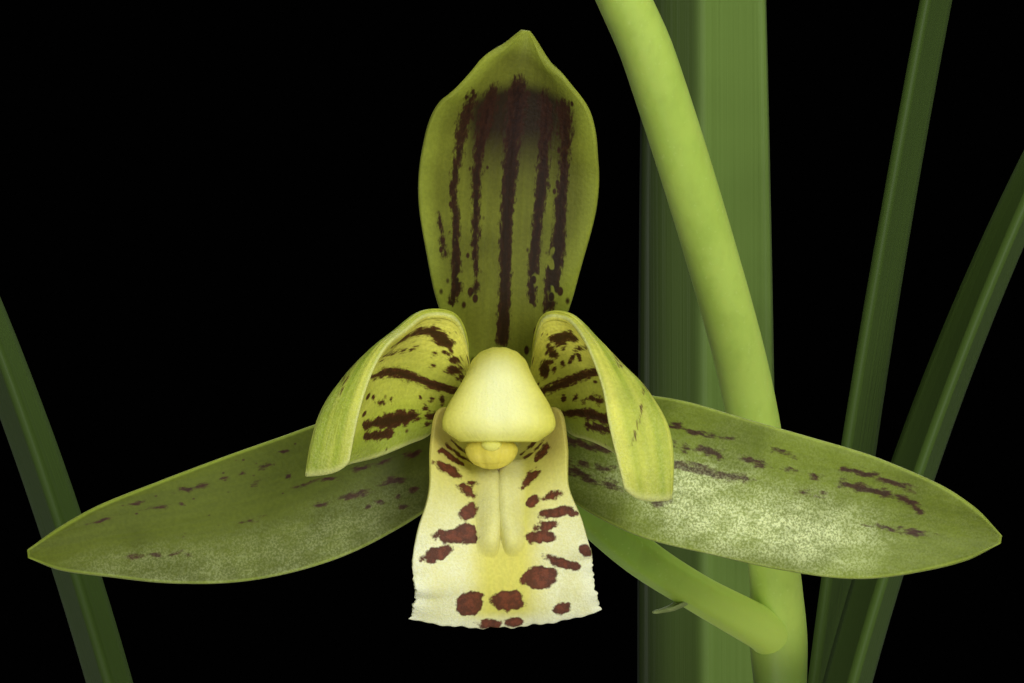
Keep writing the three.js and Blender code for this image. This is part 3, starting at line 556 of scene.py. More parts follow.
def finishes():
    """All materials of the plant, made once."""
    if MADE:
        return MADE
    c = bpy.context.scene.orchid_colours
    marks, sepal, petal, lip = (tuple(x) for x in (c.marks, c.sepal, c.petal, c.lip))
    column, anther, leaf, stem = (tuple(x) for x in (c.column, c.anther, c.leaf, c.stem))
    bulb, husk, bark = (tuple(x) for x in (c.bulb, c.husk, c.bark))
    brown = shades(marks, 0.34, 0.46, 0.36)
    # For blooms: ground, deeper tone, rim, marks, frosty colour (also painted sheen and light) and dusk
    # (darker tone, also painted shade)
    MADE["sepal"] = bloom_finish(
        "Sepal", sepal, (0.11, 0.115, 0.013), (0.26, 0.3, 0.032), brown, FROST, (0.022, 0.013, 0.005),
        ragged=0.42, fine=2.8,
    )
    # Its pale frosty colour and high glitter paint the glossy sheen and glints of the right sepal
    MADE["side sepal"] = bloom_finish(
        "Side sepal", shades(sepal, 1.05, 1.26, 1.05), (0.12, 0.16, 0.015), (0.26, 0.33, 0.04),
        shades(marks, 0.6, 0.9, 1.1), (0.84, 0.92, 0.45), (0.038, 0.036, 0.009),
        ragged=0.42, fine=2.2, glitter=0.75,
    )
    MADE["petal"] = bloom_finish(
        "Petal", petal, (0.58, 0.56, 0.08), (0.6, 0.62, 0.2), shades(marks, 0.8), (0.74, 0.78, 0.27),
        (0.27, 0.355, 0.02), ragged=0.45, fine=3.0, depth=0.0001,
    )
    MADE["lip"] = bloom_finish(
        "Lip", lip, (0.64, 0.62, 0.12), (0.8, 0.8, 0.52), shades(marks, 1.2, 1.05, 1.05),
        (0.88, 0.89, 0.58), (0.32, 0.21, 0.075), grain=0.04, ragged=0.34, glitter=0.3, edged=0.55,
    )
    # The column's frosty colour paints its lit middle, and its dusk paints the shade on its top and sides
    MADE["column"] = bloom_finish(
        "Column", column, (0.76, 0.74, 0.15), column, marks, (0.86, 0.88, 0.46), (0.56, 0.53, 0.06),
        grain=0.03, rough=0.34, vein=0.3, glitter=0.08,
    )
    MADE["anther"] = bloom_finish(
        "Anther cap", anther, (0.6, 0.5, 0.06), anther, marks, (0.9, 0.85, 0.4), column,
        grain=0.03, rough=0.35, vein=0.2, glitter=0.08,
    )
    MADE["bud"] = bloom_finish(
        "Bud", (0.2, 0.25, 0.03), (0.16, 0.16, 0.03), (0.28, 0.32, 0.06), brown, FROST, (0.1, 0.08, 0.02)
    )
    # For the rest: ground, deeper tone and specks
    # The stem's low colour is partly its own deeper green and partly painted shade
    MADE["stem"] = plain_finish(
        "Stem", stem, (0.42, 0.58, 0.085), (0.56, 0.7, 0.18), rough=0.45, grain=1.1, depth=0.00003,
        stretch=(1.0, 1.0, 0.6), specks=0.35, soft=0.1, mottle=0.2, low=(0.1, 0.16, 0.02),
    )
    MADE["stalk"] = plain_finish(
        "Bloom stalk", (0.25, 0.41, 0.04), (0.21, 0.34, 0.03), (0.42, 0.55, 0.12), rough=0.45, grain=1.1,
        depth=0.00003, stretch=(1.0, 1.0, 0.6), specks=0.35, soft=0.1, mottle=0.15, lit=(0.5, 0.66, 0.1),
    )
    MADE["bulb"] = plain_finish(
        "Pseudobulb", bulb, (0.1, 0.15, 0.03), (0.3, 0.32, 0.1), rough=0.42, grain=0.5, depth=0.0004,
        stretch=(1.6, 1.6, 0.25), specks=0.3, soft=0.05,
    )
    MADE["husk"] = plain_finish(
        "Husk", husk, (0.26, 0.17, 0.08), (0.6, 0.5, 0.3), rough=0.7, grain=1.0, depth=0.0005,
        stretch=(1.8, 1.8, 0.1), specks=0.5,
    )
    MADE["bract"] = plain_finish(
        "Bract", (0.3, 0.36, 0.13), (0.22, 0.27, 0.08), (0.6, 0.56, 0.4), rough=0.5, grain=1.2, depth=0.0001
    )
    MADE["bark"] = plain_finish(
        "Bark", bark, (0.075, 0.036, 0.018), (0.3, 0.18, 0.1), rough=0.85, grain=0.7, depth=0.0012,
        specks=0.45,
    )
    MADE["soil"] = plain_finish(
        "Fine mix", (0.06, 0.036, 0.02), (0.03, 0.018, 0.01), (0.24, 0.2, 0.15), rough=0.95, grain=0.9,
        depth=0.002, specks=0.7,
    )
    # lit paints light on one half of each leaf; the young leaf's low edge paints shade on its other margin
    MADE["leaf"] = leaf_finish("Leaf", leaf, lit=1.2)
    MADE["young leaf"] = leaf_finish("Young leaf", shades(leaf, 1.1, 1.0, 1.2), lit=3.4, edge=0.2)
    MADE["clay"] = clay_finish(c)
    return MADE


# Pot and growing mix, in millimetres

POT_HEIGHT, POT_RIM, POT_BASE, POT_WALL, POT_FLOOR = 165, 75, 53, 6, 8
COLLAR_FOOT, COLLAR_OUT = 145, 5
DRAIN_RADIUS, DRAIN_AWAY = 5.5, 30
MIX_TOP = 150
# Chips laid on a square metre for each chip that is asked for
CHIPS_SPREAD = 120.0


def wall_radius(z):
    return POT_BASE + (POT_RIM - COLLAR_OUT - POT_BASE) * z / POT_HEIGHT


def turned(form, profile, sides, material):
    """A closed body turned round the Z axis from (radius, height) pairs that start and end on the axis."""
    profile = np.asarray(profile, float)
    angle = np.linspace(0, 2 * np.pi, sides, endpoint=False)
    r, z = profile[1:-1, 0], profile[1:-1, 1]
    ring = np.stack((r[:, None] * np.cos(angle), r[:, None] * np.sin(angle), z[:, None] + 0 * angle), -1)
    points = np.concatenate((ring.reshape(-1, 3), ((0, 0, profile[0, 1]), (0, 0, profile[-1, 1]))))
    form.add(points, points[:, :2], closed_tube(len(r), sides), material)


def rounded(corners, radius=0.8, steps=4):
    """A profile whose inner corners are rounded off."""
    corners = [np.array(c, float) for c in corners]
    profile = [corners[0]]
    for before, here, after in zip(corners, corners[1:], corners[2:]):
        reach = min(radius, 0.4 * np.linalg.norm(here - before), 0.4 * np.linalg.norm(after - here))
        start, end = here + unit(before - here) * reach, here + unit(after - here) * reach
        for t in np.linspace(0, 1, steps + 1):
            profile.append(start * (1 - t) ** 2 + here * 2 * t * (1 - t) + end * t * t)
    return profile + [corners[-1]]


def as_mesh(piece):
    """Turns a piece with modifiers into a plain mesh."""
    view = bpy.context.evaluated_depsgraph_get()
    mesh = bpy.data.meshes.new_from_object(piece.evaluated_get(view), depsgraph=view)
    mesh.name = piece.name
    piece.modifiers.clear()
    piece.data = mesh
    if len(mesh.polygons) < FEWEST_FACES:
        raise RuntimeError(f"{piece.name} came out empty")
    return piece


def joined(parts):
    """Joins parts into the first of them."""
    with bpy.context.temp_override(
        active_object=parts[0], selected_objects=parts, selected_editable_objects=parts
    ):
        bpy.ops.object.join()


class ORCHID_OT_pot(bpy.types.Operator):
    """Builds the clay pot with its drain holes"""

    bl_idname = "orchid.pot"
    bl_label = "Clay pot"

    def execute(self, context):
        corners = [
            (0, 0),
            (POT_BASE - 2, 0),
            (wall_radius(2), 2),
            (wall_radius(COLLAR_FOOT), COLLAR_FOOT),
            (POT_RIM - 1, COLLAR_FOOT + 1),
            (POT_RIM, POT_HEIGHT - 3),
            (POT_RIM - 2, POT_HEIGHT),
            (wall_radius(POT_HEIGHT) - POT_WALL + 1.5, POT_HEIGHT),
            (wall_radius(POT_HEIGHT - 3) - POT_WALL, POT_HEIGHT - 3),
            (wall_radius(POT_FLOOR + 4) - POT_WALL, POT_FLOOR + 4),
            (wall_radius(POT_FLOOR) - POT_WALL - 4, POT_FLOOR),
            (0, POT_FLOOR),
        ]
        clay = finishes()["clay"]
        form = Form()
        turned(form, rounded(corners), 144, clay)
        pot = form.make("turned_pot")
        drills = Form()
        for i in range(4):
            angle = math.radians(45 + 90 * i)
            x, y = DRAIN_AWAY * math.cos(angle), DRAIN_AWAY * math.sin(angle)
            ends = ((0, -4), (1, POT_FLOOR + 4))
            line = [(share, x, y, z, DRAIN_RADIUS, DRAIN_RADIUS) for share, z in ends]
            drills.loft(line, (0, 1, 0), 1, 32, clay)
        drill = drills.make("drain_drills")
        gap_shade = pot.modifiers.new("Drain holes", "BOOLEAN")
        gap_shade.object, gap_shade.operation, gap_shade.solver = drill, "DIFFERENCE", "EXACT"
        as_mesh(pot)
        bpy.data.objects.remove(drill)
        stand_for(pot, "clay", "clay_pot")
        return {"FINISHED"}


# Where each pseudobulb stands and the bearing of its scale leaves
BULBS = [((-36.5, 12), 172), ((-15, -10), 200), ((1.6, 22), 0), ((16, 2), -12), ((37, 16), 20)]
STEM_FOOT = (9, -16)


def new_tree(name, **inputs):
    """A geometry tree that takes a mesh and the named inputs, and what its input node gives out."""
    tree = bpy.data.node_groups.new(name, "GeometryNodeTree")
    for title, kind in {"Geometry": "Geometry", **inputs}.items():
        tree.interface.new_socket(title, in_out="INPUT", socket_type="NodeSocket" + kind)
    tree.interface.new_socket("Geometry", in_out="OUTPUT", socket_type="NodeSocketGeometry")
    return tree, tree.nodes.new("NodeGroupInput").outputs


def end_tree(tree, made, material):
    """Ends a geometry tree: its instances are made real and take their material."""
    real = wire(tree, "GeometryNodeRealizeInstances", made)
    done = wire(tree, "GeometryNodeSetMaterial", real, Material=material)
    tree.links.new(done, tree.nodes.new("NodeGroupOutput").inputs[0])
    return tree


def chip_tree(material):
    """Scatters rough chips of bark over a surface."""
    tree, given = new_tree(
        "Bark chips", Size="Vector", Amount="Float", Spacing="Float", Roughness="Float", Seed="Int"
    )
    seed = given["Seed"]
    spots = wire(
        tree, "GeometryNodeDistributePointsOnFaces", given["Geometry"], distribute_method="POISSON",
        Distance_Min=given["Spacing"], Density_Max=given["Amount"], Seed=seed,
    )
    chip = wire(tree, "GeometryNodeMeshCube", given["Size"], 3, 3, 2)
    turn, grow = (
        wire(tree, "FunctionNodeRandomValue", low, high, data_type="FLOAT_VECTOR", Seed=draw)
        for low, high, draw in (
            ((-0.4, -0.4, 0.0), (0.4, 0.4, 6.28), seed),
            ((0.6, 0.55, 0.6), (1.3, 1.2, 1.3), 3),
        )
    )
    laid = wire(tree, "GeometryNodeInstanceOnPoints", spots, Instance=chip, Rotation=turn, Scale=grow)
    real = wire(tree, "GeometryNodeRealizeInstances", laid)
    place = wire(tree, "GeometryNodeInputPosition")
    rough = wire(tree, "ShaderNodeTexNoise", place, pick=1, Scale=210.0, Detail=1.0)
    push = wire(tree, "ShaderNodeVectorMath", rough, (0.5, 0.5, 0.5), operation="SUBTRACT")
    push = wire(tree, "ShaderNodeVectorMath", push, Scale=given["Roughness"], operation="SCALE")
    return end_tree(tree, wire(tree, "GeometryNodeSetPosition", real, Offset=push), material)


def run_tree(piece, tree, values):
    """Runs a geometry tree on a piece; values go in by the names of its inputs."""
    modifier = piece.modifiers.new(tree.name, "NODES")
    modifier.node_group = tree
    for item in tree.interface.items_tree:
        if item.in_out == "INPUT" and item.name in values:
            modifier[item.identifier] = values[item.name]


def open_ground(radius, away):
    """The top of the mix as a flat ring of small faces, open round the bulbs and the stem."""
    rings, sides = 24, 72
    r, a = np.linspace(0.5, radius, rings)[:, None], np.linspace(0, 2 * np.pi, sides, endpoint=False)
    points = np.stack((r * np.cos(a), r * np.sin(a), np.full((rings, sides), MIX_TOP + 1.4)), -1)
    i = np.arange(rings * sides).reshape(rings, sides)
    j = np.roll(i, -1, axis=1)
    faces = np.column_stack([x.ravel() for x in (i[:-1], i[1:], j[1:], j[:-1])])
    middle = points.reshape(-1, 3)[faces].mean(1)[:, :2]
    free = np.ones(len(faces), bool)
    for spot, reach in [(at, away + 5) for at, _ in BULBS] + [(STEM_FOOT, away)]:
        free &= np.hypot(*(middle - spot).T) > reach
    mesh = bpy.data.meshes.new("Ground")
    mesh.from_pydata((points.reshape(-1, 3) * MM).tolist(), [], faces[free].tolist())
    return placed("Ground", mesh)


class ORCHID_OT_mix(bpy.types.Operator):
    """Fills the pot with bark mix and scatters chips of bark and fine bits on top"""

    bl_idname = "orchid.mix"
    bl_label = "Bark mix"

    def execute(self, context):
        sizes = context.scene.orchid_sizes
        foot = POT_FLOOR + 0.3
        inside = [(0, foot), (wall_radius(8) - 11.3, foot), (wall_radius(13) - 6.5, 13)]
        inside += [(wall_radius(z) - 6.4, z) for z in (60, 110, 146)]
        heaps = ((58, -0.4), (52, -0.6), (44, 0), (36, -0.4), (28, 0.2), (18, 0), (8, 0.4), (0, 0.4))
        form = Form()
        turned(form, inside + [(r, MIX_TOP + z) for r, z in heaps], 96, finishes()["soil"])
        mix = form.make("mix_and_chips")
        tree = chip_tree(finishes()["bark"])
        chip = sizes.chip
        # Size, amount, spacing, roughness, radius of the ground, room round bulbs and stem, and seed
        kinds = [
            ((chip, chip * 0.62, chip * 0.36), sizes.chips * CHIPS_SPREAD, chip * 0.62, 0.005, 51, 13, 4),
            ((chip * 0.42, chip * 0.3, chip * 0.24), 90000.0, chip * 0.3, 0.0022, 57, 8, 11),
        ]
        parts = [mix]
        for size, amount, spacing, rough, radius, away, seed in kinds:
            ground = open_ground(radius, away)
            values = {"Size": size, "Amount": amount, "Spacing": spacing, "Roughness": rough, "Seed": seed}
            run_tree(ground, tree, values)
            parts.append(as_mesh(ground))
        joined(parts)
        stand_for(mix, "bark", "bark_mix")
        return {"FINISHED"}


# Pseudobulbs and leaves

BULB_FOOT, BULB_TALL = 138, 29
# Share of a pseudobulb's height and of its widest radius
BULB_SHAPE = [(0, 0.35), (0.1, 0.72), (0.3, 1), (0.5, 0.96), (0.75, 0.66), (0.9, 0.52), (1, 0.44)]


def bulb_ribs(s, t):
    return 1 + 0.05 * np.cos(9 * t) * np.sin(np.pi * s) - 0.02 * (1 + np.cos(18 * t))


def ripple(s, u):
    return 0.2 * u * u * np.sin(15 * s + 2 * u)


def scale_leaf(x, y, bearing, longer):
    """Stations of a dry scale leaf that stands against a pseudobulb, and the way it faces."""
    c, s = math.cos(bearing), math.sin(bearing)
    spots = [
        (0, 8, 4, 4.6, 42),
        (0.3, 9.2, 8, 5.2, 46),
        (0.65, 10.8, 16 + 2 * longer, 3.8, 40),
        (1, 14.2, 27 + 6 * longer, 0.4, 10),
    ]
    line = [(f, x + out * c, y + out * s, MIX_TOP + up, half, curl) for f, out, up, half, curl in spots]
    return line, (-c, -s, 1)


class ORCHID_OT_bulbs(bpy.types.Operator):
    """Builds the ribbed pseudobulbs with their dry scale leaves"""

    bl_idname = "orchid.bulbs"
    bl_label = "Pseudobulbs"

    def execute(self, context):
        radius = context.scene.orchid_sizes.bulb_radius / MM
        for i, ((x, y), fan) in enumerate(BULBS):
            form = Form()
            line = [(s, x, y, BULB_FOOT + s * BULB_TALL, w * radius, w * radius) for s, w in BULB_SHAPE]
            form.loft(line, (0, 1, 0), 40, 72, finishes()["bulb"], bulb_ribs)
            for k, turn in enumerate((0, 180)):
                line, face = scale_leaf(x, y, math.radians(fan + turn), k)
                grid, u, share = blade(line, face, 28, 14, wave=ripple)
                form.sheet(grid, np.stack((u * 5, share * 30), -1), 0.9, finishes()["husk"], thin=0.2)
            stand_for(form.make(f"ribbed_bulb_{i + 1}"), "bulb", f"pseudobulb_{i + 1}")
        return {"FINISHED"}


# Bulb, foot beside the bulb's middle, bearing, length, and lean at the foot and the tip in degrees
LEAVES = [
    (0, (-1.6, -1), 176, 430, (-3.4, 55)),
    (0, (0.6, 3), 90, 236, (4, 14)),
    (0, (-6.3, -0.8), 204, 350, (16, 100)),
    (1, (-2, -2), 226, 330, (14, 112)),
    (1, (1.6, 0.6), 184, 232, (3, 40)),
    (2, (0.1, 3.4), 90, 420, (3.5, 8)),
    (2, (2.4, -2.8), -3, 400, (-0.6, 19)),
    (3, (2.4, -2), -44, 380, (12, 98)),
    (3, (0.6, 3), 10, 390, (-9, 51)),
    (3, (-1.4, -3), -70, 250, (12, 104)),
    (4, (1.8, 0), 16, 430, (3, 54)),
    (4, (-2, 3.2), 64, 440, (5, 44)),
    (4, (6.1, -1.8), -12, 350, (16, 96)),
]
YOUNG_LEAF = 5
LEAF_TWISTS = (7, -9, 12, -6, 10, 0, -5)
# Share of a leaf's length and of its half width
LEAF_WIDTHS = [
    (0, 0.42),
    (0.06, 0.5),
    (0.2, 0.8),
    (0.4, 1),
    (0.65, 1),
    (0.85, 0.72),
    (0.95, 0.36),
    (1, 0.06),
]


def path_of(name, points, half):
    """A line of points as a mesh, with the half width of its piece at each of them, in metres."""
    mesh = bpy.data.meshes.new(name)
    mesh.from_pydata(points.tolist(), [(i, i + 1) for i in range(len(points) - 1)], [])
    mesh.attributes.new("half", "FLOAT", "POINT").data.foreach_set("value", half)
    return placed(name, mesh)


def midrib(bulb, foot, bearing, long, leans):
    """Stations of a leaf's midrib, which leans more and more towards its tip."""
    x, y = np.array(BULBS[bulb][0]) + foot
    z = BULB_FOOT + BULB_TALL + (0.3 if math.hypot(*foot) < 4 else -4)
    out, count = math.radians(bearing), 16
    stations = []
    for i in range(count + 1):
        stations.append((i / count, x, y, z))
        angle = math.radians(leans[0] + (leans[1] - leans[0]) * ((i + 0.5) / count) ** 2)
        x += long / count * math.sin(angle) * math.cos(out)
        y += long / count * math.sin(angle) * math.sin(out)
        z += long / count * math.cos(angle)
    return stations


def leaf_tree(material):
    """Draws a strap leaf along a path: a grid is laid along it and bent to its width, fold and ripple."""
    tree, given = new_tree(
        "Strap leaf", Side="Vector", Fold="Float", Twist="Float", Ripple="Float", Length="Float"
    )

    def vector(operation, *values, **named):
        return wire(tree, "ShaderNodeVectorMath", *values, operation=operation, **named)

    grid = wire(tree, "GeometryNodeMeshGrid", 2.0, 1.0, 17, 161)
    parts = wire(tree, "ShaderNodeSeparateXYZ", wire(tree, "GeometryNodeInputPosition"), pick=None)
    u, share = parts.outputs[0], maths(tree, "ADD", parts.outputs[1], 0.5)
    away = maths(tree, "ABSOLUTE", u)
    sample = wire(
        tree, "GeometryNodeSampleCurve", pick=None, mode="FACTOR", use_all_curves=False, Factor=share,
        Curves=wire(tree, "GeometryNodeMeshToCurve", given["Geometry"]),
        Value=wire(tree, "GeometryNodeInputNamedAttribute", "half"),
    )
    half, spot, way = (sample.outputs[name] for name in ("Value", "Position", "Tangent"))
    twist = times(tree, share, share, given["Twist"])
    wide = wire(
        tree, "ShaderNodeVectorRotate", given["Side"], Axis=way, Angle=twist, rotation_type="AXIS_ANGLE"
    )
    look = vector("NORMALIZE", vector("CROSS_PRODUCT", wide, way))
    opened = times(tree, maths(tree, "MINIMUM", times(tree, share, 5.0), 1.0), given["Fold"])
    fold = maths(tree, "SUBTRACT", maths(tree, "ADD", opened, 0.105), times(tree, share, 0.14))
    across = times(tree, u, half, maths(tree, "COSINE", fold))
    beat = maths(tree, "SINE", maths(tree, "ADD", times(tree, share, 31.0), u))
    ripple = times(tree, beat, given["Ripple"], times(tree, away, away))
    rise = maths(tree, "ADD", times(tree, away, half, maths(tree, "SINE", fold)), ripple)
    place = vector("ADD", vector("SCALE", wide, Scale=across), vector("SCALE", look, Scale=rise))
    long = times(tree, given["Length"], 1000.0)
    flat = wire(tree, "ShaderNodeCombineXYZ", times(tree, u, half, 1000.0), times(tree, share, long))
    named = wire(
        tree, "GeometryNodeStoreNamedAttribute", grid, None, "Blade", flat, data_type="FLOAT2",
        domain="CORNER",
    )
    moved = wire(tree, "GeometryNodeSetPosition", named, Position=vector("ADD", spot, place))
    return end_tree(tree, wire(tree, "GeometryNodeSetShadeSmooth", moved), material)


class ORCHID_OT_leaves(bpy.types.Operator):
    """Draws each strap leaf along its own path"""

    bl_idname = "orchid.leaves"
    bl_label = "Leaves"

    def execute(self, context):
        sizes = context.scene.orchid_sizes
        trees = [leaf_tree(finishes()[name]) for name in ("leaf", "young leaf")]
        share = np.linspace(0, 1, 121)
        for i, (bulb, foot, bearing, long, leans) in enumerate(LEAVES):
            half = along(LEAF_WIDTHS, share)[:, 0] * (sizes.leaf_half * (1.138 if i == YOUNG_LEAF else 1))
            points = along(midrib(bulb, foot, bearing, long, leans), share) * MM
            leaf = path_of(f"strap_leaf_{i + 1}", points, half)
            out = math.radians(bearing)
            values = {
                "Side": (math.sin(out), -math.cos(out), 0.0),
                "Fold": math.radians(22),
                "Twist": math.radians(LEAF_TWISTS[i % len(LEAF_TWISTS)]),
                "Ripple": 0.00012,
                "Length": long * MM,
            }
            run_tree(leaf, trees[i == YOUNG_LEAF], values)
            wall = leaf.modifiers.new("Thickness", "SOLIDIFY")
            wall.thickness, wall.offset = sizes.leaf_thick, 0
            stand_for(as_mesh(leaf), "leaf", f"leaf_{i + 1}")
        return {"FINISHED"}


# Flower stem


def from_bloom(x, y, z):
    return tuple(BLOOM_AT + (x, y, z))


# The joints of the stem where blooms and buds leave it
JOINTS = ((21.3, 28, -18.7), (7.4, 8.4, 33.6), (9.6, 5, 74), (5.4, 2.6, 106), (7.4, 1, 128))
NODES = [from_bloom(*p) for p in JOINTS]
STEM_TIP = from_bloom(6.2, 0.6, 146)
STEM_LINE = [
    (9, -16, 138),
    (9.2, -17, 200),
    (8.6, -19, 260),
    (6.6, -21, 330),
    from_bloom(22.6, 28.6, -50),
    NODES[0],
    from_bloom(20.9, 26.4, -13.3),
    from_bloom(18.7, 21, -0.3),
    from_bloom(15.4, 16.5, 11.3),
    from_bloom(10.9, 11.2, 24.6),
    NODES[1],
    from_bloom(7.6, 6.4, 52),
    *NODES[2:],
    STEM_TIP,
]
# Shares of the stem's length that its sheaths cover
SHEATHS = [(0.05, 0.13), (0.17, 0.25), (0.3, 0.38)]
# Share of a sheath's length, its reach round the stem, its curl in degrees, and how far it stands off
SHEATH_SHAPE = [
    (0, 2.85, 163, 0),
    (0.35, 2.85, 163, 0),
    (0.6, 2.3, 132, 0.1),
    (0.82, 1.3, 75, 0.4),
    (1, 0.15, 8, 1.6),
]


def stalk_tree(material):
    """Draws a round stalk along a path, as thick at each point as the path says."""
    tree, given = new_tree("Stalk", Sides="Int")
    half = wire(tree, "GeometryNodeInputNamedAttribute", "half")
    line = wire(tree, "GeometryNodeMeshToCurve", given["Geometry"])
    line = wire(tree, "GeometryNodeSetCurveRadius", line, Radius=half)
    ring = wire(tree, "GeometryNodeCurvePrimitiveCircle", given["Sides"], Radius=1.0)
    tube = wire(tree, "GeometryNodeCurveToMesh", line, ring, Fill_Caps=True, pick=None)
    if "Scale" in tube.inputs:
        tree.links.new(half, tube.inputs["Scale"])
    return end_tree(tree, wire(tree, "GeometryNodeSetShadeSmooth", tube.outputs[0]), material)


def stem_stations(middle):
    radii = [middle + 0.1 * max(0, 4 - i) - 0.14 * max(0, i - 9) for i in range(len(STEM_LINE))]
    return tube_stations(STEM_LINE, radii)


class ORCHID_OT_stem(bpy.types.Operator):
    """Draws the flower stem along its path, with its joints and its sheaths"""

    bl_idname = "orchid.stem"
    bl_label = "Flower stem"

    def execute(self, context):
        stations = stem_stations(context.scene.orchid_sizes.stem_radius / MM)
        share = np.linspace(0, 1, 420)
        spots = along(stations, share)
        half = spots[:, 3].copy()
        for joint in NODES:
            away = np.linalg.norm(spots[:, :3] - joint, axis=1)
            half *= 1 + 0.14 * np.exp(-((away / 3.2) ** 2))
        half *= smooth(1.004, 0.985, share)
        stem = path_of("stem_and_sheaths", spots[:, :3] * MM, half * MM)
        run_tree(stem, stalk_tree(finishes()["stem"]), {"Sides": 40})
        as_mesh(stem)
        form = Form()
        for i, (low, high) in enumerate(SHEATHS):
            side = 1 if i % 2 else -1
            line = []
            for f, reach, curl, off in SHEATH_SHAPE:
                x, y, z, r, _ = along(stations, np.array(low + (high - low) * f))
                wrap = r + 0.45
                line.append((f, x + side * (wrap + off), y, z, reach * wrap, curl))
            grid, u, share = blade(line, (-side, 0, 0), 48, 26)
            form.sheet(grid, np.stack((u * 7, share * 30), -1), 0.35, finishes()["husk"], thin=0.3)
        joined([stem, form.make("Sheaths")])
        stand_for(stem, "stem", "flower_stem")
        return {"FINISHED"}


# Blooms

# A bloom faces -Y in its own place, with +Z up. Stations of a blade run from its foot to its tip:
# (share, x, y, z, half width, curl in degrees). The right side is given as a left one and turned over.

DORSAL_SEPAL = [
    (0, 0.1, 6.6, 0.6, 1.4, 5),
    (0.1, 0.15, 5.3, 3.3, 3, 12),
    (0.22, 0.3, 4, 6.4, 4.55, 16),
    (0.37, 0.4, 2.9, 9.9, 5.5, 18),
    (0.54, 0.6, 1.9, 14, 6.35, 20),
    (0.69, 0.85, 0.9, 17.5, 6.35, 26),
    (0.83, 1.3, -0.5, 21, 5.6, 38),
    (0.93, 1.5, -1.9, 23.5, 3.3, 49),
    (0.97, 1.7, -2.5, 24.6, 1.45, 45),
    (1, 1.85, -2.9, 25.65, 0.25, 20),
]
LEFT_SEPAL = [
    (0, -1, 6.9, -1.4, 1.4, 5),
    (0.08, -4, 5.4, -2.7, 3, 8),
    (0.16, -6.6, 4.2, -4.2, 3.9, 12),
    (0.28, -10.3, 3.5, -5.7, 4.6, 14),
    (0.4, -13.9, 3.2, -7.1, 4.75, 14),
    (0.55, -18.4, 3.1, -8.4, 4.5, 14),
    (0.7, -22.9, 3.4, -9.3, 3.8, 18),
    (0.84, -27.6, 4, -10, 2.7, 24),
    (0.94, -31.2, 4.4, -10.7, 1.5, 24),
    (1, -33.5, 4.6, -11, 0.3, 10),
]
RIGHT_SEPAL = [
    (0, -1, 6.9, -1.4, 1.4, 5),
    (0.08, -4.3, 5.3, -2.7, 3.1, 8),
    (0.17, -7.3, 4.2, -3.7, 4.3, 12),
    (0.3, -11.5, 3.1, -4.9, 5.05, 14),
    (0.45, -16.4, 2.7, -6.2, 4.95, 12),
    (0.6, -21.2, 2.7, -7.4, 4.8, 12),
    (0.74, -25.8, 3, -8.35, 4.4, 16),
    (0.87, -30.3, 3.4, -9, 3.25, 26),
    (0.95, -33.4, 3.8, -9.55, 1.9, 30),
    (1, -35.6, 4, -9.95, 0.3, 10),
]
# A petal arches forward and its upper part folds down in front. Each row runs from the lower margin over
# the midrib and the fold to the upper margin.
LEFT_PETAL = [
    ((-2.6, 5, -0.9), (-2.4, 5.1, -0.1), (-2.2, 5.1, 0.5), (-2, 4.9, 1)),
    ((-4.2, 3.8, -1.7), (-3.2, 3.2, 0.9), (-2.5, 2.3, 3.5), (-2.3, 1.8, 4.1)),
    ((-5.1, 2, -2.6), (-4.6, 1.6, 1.4), (-3.5, 0.1, 5.3), (-3.1, -0.4, 5.8)),
    ((-6.3, 1, -3.1), (-6.2, 0.2, 2), (-5.5, -1.7, 5.5), (-5, -2.3, 5.95)),
    ((-7.5, 0, -3.6), (-7.4, -1.2, 2.2), (-7.4, -3.4, 4.2), (-6.4, -4.4, 4.9)),
    ((-8.6, -1.2, -4), (-8.6, -2.8, 1.9), (-8.9, -5, 3), (-7.6, -6.2, 3.9)),
    ((-9.5, -2.8, -4.2), (-9.8, -4.6, 0.5), (-10.4, -6.4, 1.4), (-8.6, -7.6, 2.1)),
    ((-10.4, -4.6, -4.4), (-11.1, -6.2, -1.6), (-11.9, -7.4, -1), (-9.5, -8.6, -0.8)),
    ((-11, -6, -4.8), (-12.1, -7, -4.9), (-13.1, -7.8, -5.1), (-10.3, -8.9, -4.9)),
]
RIGHT_PETAL = [
    ((-2.7, 5, -0.9), (-2.5, 5.1, -0.1), (-2.3, 5.1, 0.5), (-2.1, 4.9, 1)),
    ((-4.3, 3.8, -1.7), (-3.3, 3.2, 0.7), (-2.7, 2.3, 3.4), (-2.5, 1.8, 4)),
    ((-5.2, 2, -2.5), (-4.5, 1.6, 1.2), (-3.5, 0.1, 5.2), (-3.1, -0.4, 5.75)),
    ((-6.2, 1, -2.8), (-5.7, 0.2, 1.6), (-5.1, -1.7, 5.3), (-4.6, -2.2, 5.75)),
    ((-7.2, 0, -3.2), (-6.8, -1.4, 1.8), (-6.8, -3.4, 3.8), (-5.6, -4.4, 4.7)),
    ((-8.1, -1.6, -3.7), (-8.2, -3, 1.3), (-8.4, -5, 2.2), (-6.4, -6.2, 3)),
    ((-8.8, -3.4, -4.4), (-9.4, -4.8, -0.2), (-9.9, -6.4, 0.5), (-7.1, -7.6, 0.8)),
    ((-9.5, -5, -5.4), (-10.5, -6.4, -2.6), (-11.3, -7.4, -2.3), (-7.6, -8.6, -2)),
    ((-9.7, -6.2, -5.9), (-10.8, -7.2, -6.2), (-11.7, -7.8, -6.7), (-8.8, -8.9, -6.9)),
]
LIP_STATIONS = [
    (0, 0, 5.8, -2.5, 1.4, 50),
    (0.08, 0, 2.6, -3.7, 4.2, 92),
    (0.2, 0, 0.4, -4.4, 6.3, 90),
    (0.34, 0, -1.9, -5.2, 5.7, 62),
    (0.45, 0, -3.6, -6.7, 5.05, 34),
    (0.57, 0.1, -4.6, -8.7, 5.7, 16),
    (0.7, 0.2, -5, -10.9, 6.2, 8),
    (0.85, 0.4, -4.9, -13, 6.2, 4),
    (1, 0.5, -4.3, -15.6, 6.8, 0),
]
